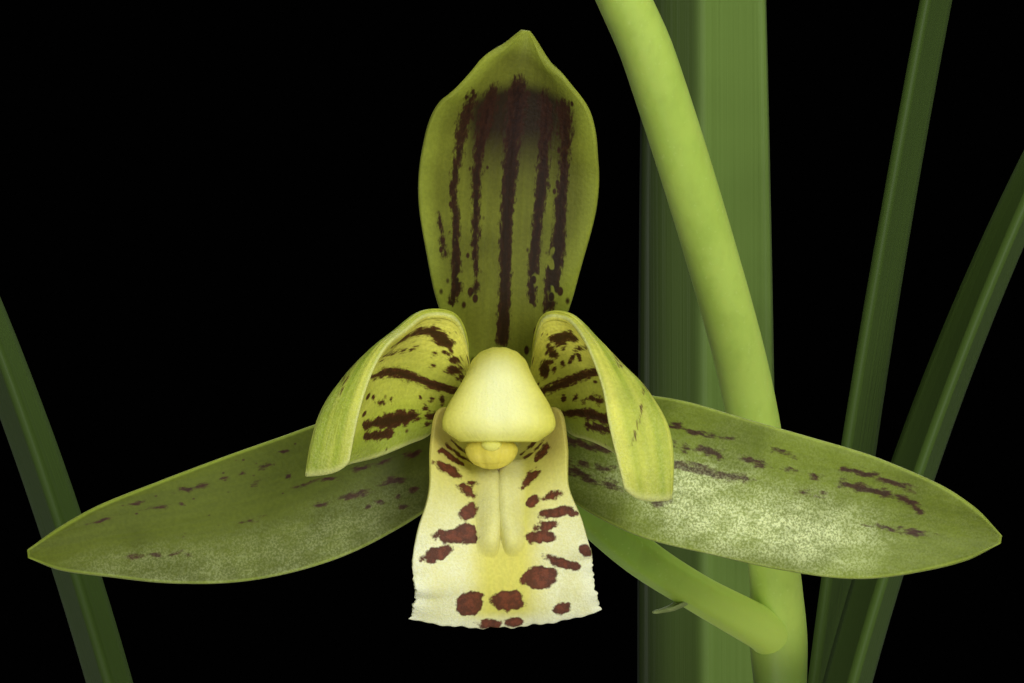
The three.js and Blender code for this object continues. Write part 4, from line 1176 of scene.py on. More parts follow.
# Share, x, y, z, half width and half depth
COLUMN = [
    (0, 0, 5.8, -0.4, 1.3, 0.9),
    (0.2, 0, 2.6, 1.1, 1.8, 1.2),
    (0.4, 0, -0.6, 2.1, 2, 1.6),
    (0.6, 0, -3, 1.2, 2.5, 1.8),
    (0.78, 0, -4.3, -0.5, 3.6, 1.5),
    (0.92, 0, -4.9, -1.9, 3.85, 1.3),
    (1, 0, -5, -2.8, 2.7, 0.8),
]
ANTHER_CAP = [
    (0, -0.5, -3.7, -2.8, 1.1, 0.5),
    (0.25, -0.5, -4.1, -3.2, 1.78, 0.85),
    (0.5, -0.5, -4.3, -3.7, 1.74, 0.85),
    (0.75, -0.5, -4.2, -4.2, 1.4, 0.7),
    (0.93, -0.5, -4.15, -4.48, 0.95, 0.5),
    (1, -0.5, -4.1, -4.58, 0.4, 0.25),
]
CAP_KNOB = [
    (0, -0.5, -4.6, -2.6, 0.35, 0.2),
    (0.5, -0.5, -4.95, -3, 0.7, 0.45),
    (1, -0.5, -4.75, -3.45, 0.25, 0.2),
]
OVARY_LINE = [
    (0, 5.4, -0.3),
    (0.1, 6.2, -0.6),
    (0.3, 7.2, -1),
    (0.9, 8.6, -2),
    (3.4, 10.4, -4.8),
    (6.6, 13.4, -8.3),
    (10.4, 17.6, -11.8),
    (15, 22, -14.9),
    (20, 26.2, -17.8),
    (21, 27.6, -18.6),
    (21.3, 28.1, -18.9),
]
OVARY_RADII = (1.5, 2.1, 2.1, 1.75, 1.65, 1.55, 1.45, 1.4, 1.65, 1.6, 0.8)
# Marks as they show from in front of a bloom, in mm from its middle: strokes run through
# (x, z, half width) and spots are (x, z, half length, half width, tilt in degrees).
DORSAL_STROKES = (
    ((0.25, 4.38, 0.49), (0.42, 7.7, 0.44), (0.47, 11.2, 0.46), (0.6, 14, 0.49), (0.82, 16.45, 0.56),
     (0.95, 18.2, 0.61), (1.19, 19.95, 0.7), (1.33, 21.56, 0.77), (1.38, 22.26, 0.56)),
    ((-1.65, 8.96, 0.18), (-1.72, 10.36, 0.25), (-1.65, 11.9, 0.28), (-1.65, 13.86, 0.3),
     (-1.61, 15.75, 0.35), (-1.47, 17.36, 0.35), (-1.26, 18.55, 0.42), (-0.98, 19.95, 0.53),
     (-0.63, 21.28, 0.49), (-0.46, 21.91, 0.35)),
    ((-3.36, 7, 0.28), (-3.01, 8.05, 0.42), (-3.05, 9.45, 0.39), (-3.12, 10.85, 0.28),
     (-3.08, 12.95, 0.32), (-3.22, 14, 0.23), (-3.26, 15.05, 0.29), (-3.12, 16.1, 0.28),
     (-2.91, 17.36, 0.32), (-2.73, 18.55, 0.39), (-2.45, 19.95, 0.46), (-2.1, 21.14, 0.39),
     (-1.96, 21.49, 0.28)),
    ((2.38, 6.86, 0.25), (2.38, 8.05, 0.35), (2.45, 9.45, 0.39), (2.59, 10.85, 0.42),
     (2.73, 12.25, 0.35), (2.8, 13.3, 0.39), (3.01, 14.7, 0.46), (3.15, 16.1, 0.46),
     (3.22, 17.5, 0.39), (3.36, 19.11, 0.46), (3.36, 20.3, 0.46), (3.29, 21.49, 0.28)),
    ((3.5, 6.3, 0.35), (3.71, 7.56, 0.53), (3.85, 8.75, 0.56), (4.06, 10.15, 0.6),
     (4.27, 11.41, 0.53), (4.34, 12.6, 0.42), (4.41, 14, 0.46), (4.59, 15.4, 0.35),
     (4.66, 16.8, 0.35), (4.83, 18.2, 0.39), (4.8, 19.6, 0.53), (4.69, 20.58, 0.46), (4.55, 21, 0.28)),
    ((-1.86, 7.56, 0.28), (-1.61, 8.19, 0.25)),
    ((-4.27, 13.16, 0.14), (-4.06, 11.48, 0.15), (-3.85, 10.15, 0.18)),
)
PETAL_LEFT_STROKES = (
    ((-9.17, 1.68, 0.18), (-8.12, 2.05, 0.35), (-7.16, 1.98, 0.42), (-6.02, 1.61, 0.36),
     (-4.62, 1.12, 0.34), (-3.31, 0.77, 0.28), (-2.59, 0.63, 0.21)),
    ((-7.77, 4.03, 0.11), (-6.72, 4.69, 0.21), (-5.76, 5.04, 0.25), (-4.83, 4.97, 0.42),
     (-4.13, 4.43, 0.53), (-3.64, 4.06, 0.35)),
    ((-10.29, -1.82, 0.28), (-9.03, -1.61, 0.35), (-8.12, -1.45, 0.56), (-6.93, -1.17, 0.56),
     (-6.02, -1.05, 0.28)),
    ((-9.87, -2.59, 0.25), (-8.82, -2.45, 0.35), (-7.86, -2.22, 0.35)),
)
PETAL_RIGHT_STROKES = (
    ((3.36, 0.77, 0.28), (4.48, 1.21, 0.37), (5.67, 1.68, 0.35), (7.07, 2.14, 0.35)),
    ((3.78, 4.48, 0.21), (4.41, 4.43, 0.49), (5.11, 4.69, 0.35), (5.67, 4.41, 0.21)),
    ((3.71, 3.85, 0.21), (4.06, 3.36, 0.35)),
    ((4.69, -0.91, 0.21), (5.88, -0.82, 0.32), (6.58, -0.91, 0.42), (7.77, -1.26, 0.35)),
    ((6.37, -1.68, 0.18), (7.07, -1.89, 0.28), (7.91, -2.03, 0.28)),
)
PETAL_BACK_STROKES = (
    ((6.7, 4.55, 0.08), (7.56, 3.5, 0.12), (8.4, 2.1, 0.05)),
    ((9.2, 1.96, 0.07), (9.9, 1.05, 0.14), (10, 0.35, 0.05)),
    ((9.87, -0.5, 0.05), (9.66, -1.75, 0.08), (9.2, -3.2, 0.04)),
    ((-9.2, 3.4, 0.05), (-10.3, 1.8, 0.1), (-11, 0.2, 0.05)),
)
LIP_STROKES = (
    ((-4.01, -3.27, 0.08), (-2.96, -4.2, 0.11), (-1.82, -4.76, 0.07)),
    ((-3.66, -3.01, 0.07), (-2.8, -3.78, 0.08), (-1.91, -4.27, 0.06)),
    ((-4.27, -3.64, 0.15), (-3.43, -4.34, 0.22), (-2.8, -4.69, 0.14)),
    ((3.43, -3.01, 0.07), (2.73, -3.85, 0.09), (1.94, -4.41, 0.07)),
    ((3.22, -2.57, 0.06), (2.52, -3.43, 0.08), (1.68, -4.13, 0.06)),
    ((3.64, -3.43, 0.21), (3.22, -3.99, 0.28), (2.8, -4.41, 0.14)),
)
SEPAL_RIGHT_STROKES = (
    ((4.39, -2.8, 0.18), (5.67, -3.01, 0.25), (6.84, -3.36, 0.28), (7.89, -3.55, 0.25)),
    ((11.62, -4.34, 0.21), (12.44, -4.55, 0.28), (14.07, -4.83, 0.32), (15.47, -5.25, 0.21),
     (16.87, -5.39, 0.25), (17.71, -5.6, 0.11)),
    ((14.07, -3.36, 0.21), (14.7, -3.54, 0.28), (15.4, -3.78, 0.25)),
    ((24.08, -4.76, 0.14), (25.06, -4.97, 0.21), (26.18, -5.25, 0.18), (27.58, -5.67, 0.21),
     (28.98, -6.23, 0.14)),
    ((23.87, -5.74, 0.21), (25.27, -6.09, 0.28), (26.44, -6.3, 0.21), (27.86, -6.65, 0.21),
     (28.91, -7.21, 0.25), (29.54, -7.84, 0.14)),
)
PETAL_LEFT_SPOTS = (
    (-4.83, 2.52, 0.21, 0.21, 0), (-3.31, 2.94, 0.42, 0.28, -30), (-3.36, 2.24, 0.63, 0.35, 0),
    (-2.94, 1.75, 0.28, 0.21, 0), (-4.71, 3.38, 0.21, 0.14, 40), (-4.01, 3.5, 0.14, 0.14, 0),
    (-6.93, 3.64, 0.28, 0.11, 10), (-7.77, 3.5, 0.35, 0.11, 20), (-6.37, 3.73, 0.28, 0.11, 15),
    (-9.1, 0.21, 0.14, 0.21, 0), (-8.49, -0.12, 0.28, 0.21, 30), (-7.84, 0.07, 0.11, 0.21, 0),
    (-5.74, 0.21, 0.11, 0.18, 0), (-4.99, 0.07, 0.14, 0.21, 0), (-5.39, -0.49, 0.21, 0.18, 0),
    (-4.27, 0.07, 0.18, 0.35, 0), (-5.88, -1.33, 0.18, 0.14, 0), (-4.9, -1.12, 0.49, 0.32, 0),
    (-3.71, 3.36, 0.21, 0.14, 0), (-5.18, -1.68, 0.28, 0.13, 20),
)
PETAL_RIGHT_SPOTS = (
    (4.74, 3.73, 0.21, 0.14, 50), (5.44, 3.15, 0.35, 0.18, 50), (5.88, 3.73, 0.25, 0.18, 0),
    (4.67, 2.68, 0.18, 0.28, 0), (5.25, 2.87, 0.18, 0.21, 0), (5.88, 3.22, 0.18, 0.35, 20),
    (3.43, 2.24, 0.35, 0.63, 0), (3.71, 2.8, 0.35, 0.21, 0), (4.06, 2.26, 0.18, 0.21, 0),
    (4.83, 0.23, 0.18, 0.28, 0), (5.6, 0.23, 0.18, 0.28, -20), (6.84, 0.23, 0.35, 0.28, 0),
    (7.28, 0, 0.35, 0.28, 0), (6.14, -0.12, 0.14, 0.14, 0), (6.37, 3.85, 0.21, 0.14, 30),
)
LIP_SPOTS = (
    (-2.1, -14.14, 1.05, 0.88, 25), (0.63, -13.93, 1.19, 0.74, 0), (2.8, -12.39, 1.33, 0.81, 5),
    (4.39, -14.49, 0.63, 0.39, 10), (6.14, -10.43, 0.49, 0.35, -30), (4.48, -11.34, 1.33, 0.39, -18),
    (-0.63, -15.6, 0.95, 0.34, 0), (1.05, -15.5, 0.7, 0.36, 0), (-4.34, -10.78, 1.12, 0.49, 20),
    (-4.83, -11.2, 0.49, 0.28, 0), (-3.01, -9.59, 1.61, 0.49, -5), (-2.31, -9.17, 0.91, 0.42, 0),
    (-2.1, -7.91, 0.84, 0.49, 25), (-2.17, -6.58, 0.98, 0.32, -28), (-1.98, -6, 0.49, 0.15, 0),
    (-3.73, -5.02, 1.05, 0.35, -32), (2.94, -9.59, 1.19, 0.42, 4), (3.36, -8.89, 0.84, 0.35, 10),
    (4.06, -7.91, 1.26, 0.35, 14), (5.11, -7.84, 0.49, 0.28, -25), (3.85, -6.79, 0.77, 0.32, 22),
    (2.45, -7.21, 0.53, 0.39, 10), (2.24, -5.67, 0.98, 0.35, 34),
)
SEPAL_LEFT_SPOTS = (
    (-25.34, -10.99, 1.05, 0.16, 3), (-23.96, -10.92, 0.35, 0.21, 0), (-22.54, -10.75, 0.49, 0.13, 15),
    (-21.63, -10.85, 0.28, 0.14, 0), (-21.98, -9.5, 0.18, 0.11, 0), (-22.21, -7.12, 0.21, 0.14, 0),
    (-23.59, -7.42, 0.77, 0.13, 8), (-25.41, -7.14, 0.63, 0.14, 10), (-27.93, -8.4, 0.7, 0.14, 18),
    (-21.77, -6.16, 0.84, 0.2, 12), (-20.58, -5.88, 0.35, 0.18, 0), (-19.11, -5.39, 0.28, 0.14, 15),
    (-18.01, -5.11, 0.28, 0.13, 0), (-16.17, -4.48, 0.63, 0.16, 18), (-17.08, -5.79, 0.28, 0.14, 20),
    (-14.79, -5.25, 0.21, 0.21, 0), (-15.12, -3.57, 0.35, 0.14, 0), (-13.93, -6.02, 0.77, 0.11, 12),
    (-12.53, -7.35, 0.91, 0.13, 10), (-10.08, -6.65, 1.05, 0.28, 18), (-9.73, -4.76, 0.63, 0.21, 12),
    (-8.33, -4.41, 0.56, 0.21, 14), (-7.42, -5.72, 0.84, 0.32, 10), (-9.17, -7.49, 0.28, 0.21, 0),
    (-8.4, -7.21, 0.28, 0.21, 0), (-7.07, -6.79, 0.21, 0.18, 0), (-6.79, -7.49, 0.35, 0.21, 10),
    (-6.16, -3.85, 0.7, 0.28, 22), (-6.02, -6.3, 0.42, 0.32, 0), (-11.97, -5.53, 0.84, 0.14, 8),
    (-10.78, -3.64, 0.42, 0.21, 0), (-17.43, -8.4, 0.84, 0.1, 8),
)
SEPAL_RIGHT_SPOTS = (
    (12.32, -1.75, 0.49, 0.21, -15), (13.84, -2.22, 0.56, 0.21, -10), (14.89, -2.45, 0.28, 0.14, 0),
    (15.94, -2.59, 0.42, 0.14, -8), (19.88, -3.62, 0.49, 0.15, -15), (12.32, -3.01, 0.35, 0.21, 0),
    (13.16, -3.36, 0.35, 0.21, -20), (17.43, -4.13, 0.49, 0.18, -15), (18.27, -4.38, 0.49, 0.21, -10),
    (20.23, -4.83, 0.42, 0.13, -15), (22.12, -5.25, 0.28, 0.14, 0), (28.77, -9.22, 0.98, 0.21, -12),
    (27.16, -8.96, 0.7, 0.13, -6), (4.83, -4.32, 0.35, 0.21, 0), (6.02, -4.55, 0.42, 0.21, -10),
    (7.28, -4.76, 0.7, 0.19, -8), (5.32, -5.02, 0.84, 0.25, -15), (6.37, -5.6, 0.56, 0.32, -20),
    (7.77, -5.95, 0.7, 0.25, -18), (11.27, -7.19, 0.56, 0.25, 10), (21.42, -6.42, 0.42, 0.13, 0),
    (22.47, -6.58, 0.28, 0.13, 0), (9.87, -4.9, 0.56, 0.21, -10),
)
# Points, strokes and spots of a petal, and how far its back turns to the dusk colour: its own greener tone,
# with more painted shade on the left petal, which faces away from the light
PETALS = {
    "left": (LEFT_PETAL, PETAL_LEFT_STROKES, PETAL_LEFT_SPOTS, 0.95),
    "right": (RIGHT_PETAL, PETAL_RIGHT_STROKES, PETAL_RIGHT_SPOTS, 0.75),
}
# Rows and columns of faces, on the nearest bloom and on those further up
NEAR = {
    "sepal": (230, 84),
    "petal": (130, 130),
    "lip": (190, 180),
    "column": (120, 128),
    "cap": (40, 48),
    "stalk": (110, 60),
}
FAR = {
    "sepal": (66, 28),
    "petal": (42, 40),
    "lip": (66, 60),
    "column": (60, 64),
    "cap": (20, 24),
    "stalk": (48, 24),
}


def tepal_thick():
    return bpy.context.scene.orchid_sizes.tepal_thick / MM


def seen(points):
    """Where points of a bloom show on the plane through its middle, from where the camera stands."""
    f = CAMERA_AWAY / (CAMERA_AWAY + points[..., 1])
    x, z = (eye + (points[..., k] - eye) * f for k, eye in ((0, CAMERA_ASIDE), (2, CAMERA_UP)))
    return np.stack((x, z), -1)


def beside(at, strokes=(), spots=()):
    """How far places lie outside the nearest mark, in mm; less than nothing inside one."""
    best = np.full(at.shape[:-1], 9.0)
    for stroke in strokes:
        for (x0, z0, r0), (x1, z1, r1) in zip(stroke, stroke[1:]):
            run = np.array((x1 - x0, z1 - z0))
            f = np.clip(((at - (x0, z0)) @ run) / (run @ run), 0, 1)
            away = np.linalg.norm(at - (x0, z0) - f[..., None] * run, axis=-1)
            best = np.minimum(best, away - (r0 + (r1 - r0) * f))
    for x, z, long, short, tilt in spots:
        a = math.radians(tilt)
        across = (at - (x, z)) @ np.array((math.cos(a), math.sin(a)))
        up = (at - (x, z)) @ np.array((-math.sin(a), math.cos(a)))
        best = np.minimum(best, (np.hypot(across / long, up / short) - 1) * short)
    return best


def turned_over(*arrays):
    """The same sheet on the other side of the bloom."""
    grid, *rest = (a[:, ::-1] for a in arrays)
    return grid * (-1, 1, 1), *rest


def draw_sepal(form, name, grids, place):
    """Draws a sepal with its stripes or dashes, its haze or frosty places, and on the side sepals painted
    shade and a painted sheen.
    """
    stations = {"dorsal": DORSAL_SEPAL, "left": LEFT_SEPAL, "right": RIGHT_SEPAL}[name]
    grid, u, share = blade(stations, FRONT, *grids["sepal"])
    if name == "right":
        grid, u, share = turned_over(grid, u, share)
    half = along(stations, share)[..., 3]
    long = 28 if name == "dorsal" else 36
    at = seen(grid)
    x, z = np.moveaxis(at, -1, 0)
    rim = np.minimum((1 - np.abs(u)) * half, (1 - share) * long)
    front = {"rim": rim * (0.45 if name == "dorsal" else 3.5)}
    if name == "dorsal":
        middle = beside(at, DORSAL_STROKES[:1])
        others = beside(at, DORSAL_STROKES[1:])
        front["mark"] = np.minimum(middle, others) * (1 - 0.5 * smooth(14, 20, z))
        front["broken"] = np.where(middle < others, 0, 0.72 * (1 - smooth(8, 17, z)) + 0.08)
        low_dots = (1 - smooth(7.5, 12, z)) * smooth(0.8, 1.6, np.abs(x - 0.4))
        front["fleck"] = np.maximum(0.9 * low_dots, 0.6 * smooth(0.7, 0.1, others))
        aside = np.abs(x - 1.4)
        top = 22.4 - 0.085 * (x - 1.4) ** 2
        haze = 0.92 * smooth(13.2, 20, z) * smooth(top + 0.5, top - 0.9, z) * smooth(4.6, 2.9, aside)
        spine = 0.12 * smooth(0.7, 0.3, np.abs(u))
        margins = 0.3 * smooth(0.75, 1, np.abs(u)) * smooth(0.5, 0.3, share)
        front["shade"] = np.clip(haze + spine + margins, 0, 1)
    elif name == "left":
        front["mark"] = beside(at, (), SEPAL_LEFT_SPOTS) + 0.05
        front["broken"] = np.full_like(u, 0.3)
        front["fleck"] = 0.25 * smooth(-0.2, 0.4, u)
        # Painted shade: the whole sepal is darkened because it turns away from the light, and more towards
        # its foot
        front["shade"] = 0.46 + 0.3 * (1 - smooth(0.05, 0.4, share))
        front["frost"] = 0.14 * smooth(0.1, -0.7, u) * smooth(0.1, 0.3, share) * smooth(1, 0.8, share)
    else:
        front["mark"] = 0.7 * beside(at, SEPAL_RIGHT_STROKES, SEPAL_RIGHT_SPOTS)
        front["broken"] = np.full_like(u, 0.42)
        # Painted shade at the foot of the sepal, where it meets the others; the sepal also turns darker
        # towards its tip
        front["shade"] = 0.35 * (1 - smooth(0.05, 0.35, share)) + 0.2 * smooth(0.7, 0.95, share)
        # Painted highlight: the glossy sheen on the lower half and beside the petal, put in as frosty
        # colour and glints
        sheen = np.exp(-(((x - 18.5) / 7.5) ** 4) - ((z + 9 + 0.14 * (x - 20)) / 2.3) ** 2)
        sheen_by_petal = np.exp(-(((x - 12) / 4) ** 2) - ((z + 5.5) / 1.6) ** 2)
        front["frost"] = np.clip(0.8 * sheen + 0.55 * sheen_by_petal + 0.04, 0, 1)
    back = dict(front, mark=front["mark"] + 0.3, frost=0.05)
    material = finishes()["sepal" if name == "dorsal" else "side sepal"]
    form.sheet(grid, np.stack((u * half, share * long), -1), tepal_thick(), material, front, back, place)


def draw_petal(form, name, grids, place):
    """Draws a folded petal with the strokes and spots of its inside and its back."""
    points, strokes, spots, dusk = PETALS[name]
    grid, u, share = patch(points, *grids["petal"], 0.025)
    if name == "right":
        grid, u, share = turned_over(grid, u, share)
    at = seen(grid)
    marks = beside(at, strokes, spots)
    folded = smooth(0.3, 0.5, u) * smooth(0.3, 0.5, share)
    rim = np.minimum((1 - np.abs(u)) * 6, (1 - share) * 14)
    inner = smooth(0.45, 0.2, share) * smooth(0.8, 1, u)
    # Painted light and shade on the inside: the pale petal colour keeps the upper part bright where the
    # fold shades it, while the lower half and the lower margin are darkened as painted shade
    front = {
        "rim": rim * 2.2,
        "shade": 0.5 * smooth(0.4, -0.3, u + 0.3 * share) + 0.4 * smooth(-0.5, -0.85, u),
        "mark": marks + 6 * folded + 6 * smooth(0.75, 0.85, share),
        "broken": 0.4 * smooth(0.1, 0.3, beside(at, strokes[:1])),
        "fleck": 0.6 * smooth(1.2, 0.3, marks) * (1 - folded),
        "frost": np.clip(0.25 * smooth(-0.72, -0.95, u) + 0.8 * inner, 0, 1),
    }
    streaks = 0.14 * np.sin(19 * u + 2.5 * np.sin(4 * share)) + 0.08 * np.sin(43 * u + 5 * share)
    back = {
        "rim": rim * 3,
        "shade": np.clip(dusk + streaks - 0.35 * smooth(0.6, 0.95, np.abs(u)), 0, 1),
        "frost": 0.3 * smooth(0.6, 0.95, share) + 0.12 * smooth(0.85, 1, u),
        "mark": np.maximum(beside(at, PETAL_BACK_STROKES), 0.03),
        "broken": 0.25,
    }
    flat = np.stack((u * 6, share * 15), -1)
    form.sheet(grid, flat, tepal_thick(), finishes()["petal"], front, back, place, thin=0.14)


def draw_lip(form, grids, place):
    """Draws the lip with its side lobes, two keels, frilled margin and blotches."""

    def frill_and_keels(share, u):
        frill = np.abs(u) ** 8 * smooth(0.5, 0.8, share) * 0.16 * np.sin(share * 62 + 3 * u)
        across = np.abs(u) * along(LIP_STATIONS, share)[..., 3]
        inside = 0.04 + 0.3 * smooth(0.52, 0.66, share) + 0.16 * smooth(0.36, 0.3, share)
        outside = 1.25 + 0.6 * smooth(0.56, 0.36, share)
        ridge = smooth(inside - 0.06, inside + 0.35, across) * smooth(outside + 0.5, inside + 0.3, across)
        return frill + 0.75 * ridge * smooth(0.24, 0.36, share) * smooth(0.69, 0.62, share)

    grid, u, share = blade(LIP_STATIONS, LIP_FACE, *grids["lip"], blunt=0.05, wave=frill_and_keels)
    half = along(LIP_STATIONS, share)[..., 3]
    ripple = 0.05 * np.sin(share * 183) + 0.05 * np.sin(share * 307 + 2 * u) + 0.04 * np.sin(share * 97)
    grid[..., 0] += np.sign(u) * np.abs(u) ** 12 * smooth(0.6, 0.9, share) * ripple
    grid[..., 2] += share**24 * (0.06 * np.sin(17 * u) + 0.05 * np.sin(43 * u + 1))
    at = seen(grid)
    x, z = np.moveaxis(at, -1, 0)
    marks = beside(at, LIP_STROKES, LIP_SPOTS)
    rim = np.minimum((1 - np.abs(u)) * half, (1 - share) * 16)
    mid = smooth(0.5, 0.8, share)
    ears = smooth(0.5, 0.75, np.abs(u)) * smooth(0.44, 0.3, share)
    keel = smooth(1.9, 0.9, np.abs(x - 0.1)) * smooth(0.69, 0.6, share)
    pale = 0.85 * smooth(0.34, 0.66, share) * smooth(1, 3.6, np.abs(x - 0.4)) + 0.35 * keel
    # Painted shade: a dark triangle in the gap between the keels, under the cap
    gap_shade = smooth(0.08, -0.06, np.abs(x) - 0.5 * np.clip((z + 5.9) / 1.1, 0, 1)) * smooth(-5.95, -5.8, z)
    front = {
        "rim": rim * 0.6 + 9 * (1 - mid),
        "mark": marks,
        "frost": np.clip(pale + 0.25 * smooth(0.8, 1, np.abs(u)) * mid, 0, 1),
        "shade": np.maximum(0.45 * ears, gap_shade),
    }
    back = dict(front, mark=marks + 0.2, frost=0.3 * front["frost"])
    flat = np.stack((u * half, share * 17), -1)
    form.sheet(grid, flat, tepal_thick(), finishes()["lip"], front, back, place)


def draw_column(form, grids, place):
    """Draws the column, broad and grooved towards its end, with a painted lit middle and painted shade on
    its top and sides.
    """

    def shape(s, t):
        groove = 0.07 * np.exp(-(((t - np.pi / 2) / 0.16) ** 2)) * smooth(0.7, 0.92, s)
        return 1 - groove + 0.012 * np.cos(14 * t) * smooth(0.7, 0.3, s)

    def layers(s, t):
        # Painted light on the middle, which faces the lamps, and painted shade on the top and the sides,
        # which turn away
        middle = np.exp(-(((t - np.pi / 2) / 0.6) ** 2)) * smooth(0.48, 0.72, s)
        dusk = 0.75 * smooth(0.7, 0.35, s) + 0.75 * np.abs(np.cos(t)) ** 1.6 * smooth(0.3, 0.7, s)
        return {"frost": 0.85 * middle * smooth(1.02, 0.86, s), "shade": dusk}

    form.loft(COLUMN, LIP_FACE, *grids["column"], finishes()["column"], shape, layers, place)


def draw_cap(form, grids, place, off=(0, 0, 0)):
    """Draws the notched cap under the column's hood and the knob above it."""

    def notches(s, t):
        beside_middle = np.abs(np.abs(np.cos(t)) - 0.42)
        return 1 - 0.14 * np.exp(-((beside_middle / 0.12) ** 2)) * smooth(0.2, 0.6, s)

    for lobe, shape, tissue in ((ANTHER_CAP, notches, "anther"), (CAP_KNOB, None, "column")):
        line = np.array(lobe)
        line[:, 1:4] += off
        form.loft(line, FRONT, *grids["cap"], finishes()[tissue], shape, place=place)


def draw_stalk(form, points, radii, grids, place):
    """Draws the ribbed stalk of a bloom, paler towards the stem."""

    def ribs(s, t):
        return 1 + 0.035 * np.cos(6 * t) * smooth(0.02, 0.2, s) * smooth(1, 0.75, s)

    def layers(s, t):
        return {"shade": smooth(0.4, 1, s)}

    line = tube_stations(points, radii)
    form.loft(line, FRONT, *grids["stalk"], finishes()["stalk"], ribs, layers, place)


def draw_bract(form, foot, tip, place, size=1.0):
    """Draws a small dry bract from its foot to its tip."""
    foot, tip = np.asarray(foot, float), np.asarray(tip, float)
    middle = (foot + tip) / 2 - (0, 0, 0.4 * size)
    line = [
        (0, *foot, 1.4 * size, 80),
        (0.5, *middle, 1.0 * size, 62),
        (0.85, *(middle * 0.3 + tip * 0.7), 0.45 * size, 40),
        (1, *tip, 0.1, 5),
    ]
    grid, u, share = blade(line, (0, 0, 1), 24, 10)
    form.sheet(grid, np.stack((u * 1.3, share * 8), -1), 0.3, finishes()["bract"], place=place, thin=0.3)


def at_first(points):
    return points + BLOOM_AT


class ORCHID_OT_sepals(bpy.types.Operator):
    """Builds the three striped sepals of the nearest bloom"""

    bl_idname = "orchid.sepals"
    bl_label = "Sepals"

    def execute(self, context):
        for name in ("dorsal", "left", "right"):
            form = Form()
            draw_sepal(form, name, NEAR, at_first)
            stand_for(form.make(f"striped_sepal_{name}"), "sepal", f"bloom1_sepal_{name}")
        return {"FINISHED"}


class ORCHID_OT_petals(bpy.types.Operator):
    """Builds the two folded petals of the nearest bloom"""

    bl_idname = "orchid.petals"
    bl_label = "Petals"

    def execute(self, context):
        for name in ("left", "right"):
            form = Form()
            draw_petal(form, name, NEAR, at_first)
            stand_for(form.make(f"folded_petal_{name}"), "petal", f"bloom1_petal_{name}")
        return {"FINISHED"}


class ORCHID_OT_lip(bpy.types.Operator):
    """Builds the spotted lip of the nearest bloom, with its two keels"""

    bl_idname = "orchid.lip"
    bl_label = "Lip"

    def execute(self, context):
        form = Form()
        draw_lip(form, NEAR, at_first)
        stand_for(form.make("spotted_lip"), "lip", "bloom1_lip")
        return {"FINISHED"}


class ORCHID_OT_column(bpy.types.Operator):
    """Builds the column of the nearest bloom and the cap at its end"""

    bl_idname = "orchid.column"
    bl_label = "Column and cap"

    def execute(self, context):
        form = Form()
        draw_column(form, NEAR, at_first)
        stand_for(form.make("column_helmet"), "column", "bloom1_column")
        form = Form()
        draw_cap(form, NEAR, at_first)
        stand_for(form.make("pollen_cap"), "anther", "bloom1_anther_cap")
        return {"FINISHED"}


class ORCHID_OT_stalk(bpy.types.Operator):
    """Builds the stalk of the nearest bloom, with its bract"""

    bl_idname = "orchid.stalk"
    bl_label = "Bloom stalk"

    def execute(self, context):
        form = Form()
        draw_stalk(form, OVARY_LINE, OVARY_RADII, NEAR, at_first)
        draw_bract(form, (14.6, 21.4, -15.2), (11.4, 19.3, -16.1), at_first, 0.55)
        stand_for(form.make("bloom_stalk"), "stem", "bloom1_ovary")
        return {"FINISHED"}


# The joint that an upper bloom grows from, its reach and rise from there, and its heading in degrees
UPPER_BLOOMS = [(NODES[1], (22, 19), 158), (NODES[2], (21, 20), -64)]


class ORCHID_OT_upper_blooms(bpy.types.Operator):
    """Builds the two blooms further up the stem"""

    bl_idname = "orchid.upper_blooms"
    bl_label = "Upper blooms"

    def execute(self, context):
        for number, (node, (reach, up), heading) in enumerate(UPPER_BLOOMS, 2):
            a = math.radians(heading)
            center = np.array(node) + (reach * math.sin(a), -reach * math.cos(a), up)
            spin = np.array(((math.cos(a), -math.sin(a), 0), (math.sin(a), math.cos(a), 0), (0, 0, 1)))

            def place(points, center=center, spin=spin):
                return points @ spin.T + center

            foot = spin.T @ (np.array(node) - center)
            tepals, lip, column = forms = Form(), Form(), Form()
            for name in ("dorsal", "left", "right"):
                draw_sepal(tepals, name, FAR, place)
            for name in ("left", "right"):
                draw_petal(tepals, name, FAR, place)
            points = [*OVARY_LINE[:4], foot * 0.62 - (0, 0, 2), foot]
            draw_stalk(tepals, points, (*OVARY_RADII[:4], 1.5, 1.4), FAR, place)
            draw_bract(tepals, foot * 0.84 - (0, 0, 0.9), foot * 0.62 - (0, 0, 4.4), place)
            draw_lip(lip, FAR, place)
            draw_column(column, FAR, place)
            draw_cap(column, FAR, place, (0, -0.6, 0.8))
            for form, part, slot in zip(forms, ("tepals", "lip", "column"), ("sepal", "lip", "column")):
                stand_for(form.make(f"upper_{part}_{number}"), slot, f"bloom{number}_{part}")
        return {"FINISHED"}


# Joint, reach and rise from there, heading in degrees, and size
BUDS = [(NODES[3], (11, 17), 95, 1), (NODES[4], (8, 15), -110, 0.85), (STEM_TIP, (2.5, 15), 20, 0.7)]


def bud_seams(s, t):
    return 1 - 0.07 * np.exp(-((np.sin(1.5 * t) / 0.14) ** 2)) * smooth(0.5, 0.64, s) * smooth(1, 0.93, s)


def bud_layers(s, t):
    green = smooth(0.52, 0.4, s)
    return {"fleck": 0.5 * smooth(0.5, 0.7, s), "shade": 0.4 * smooth(0.75, 1, s), "frost": 0.15 * green}


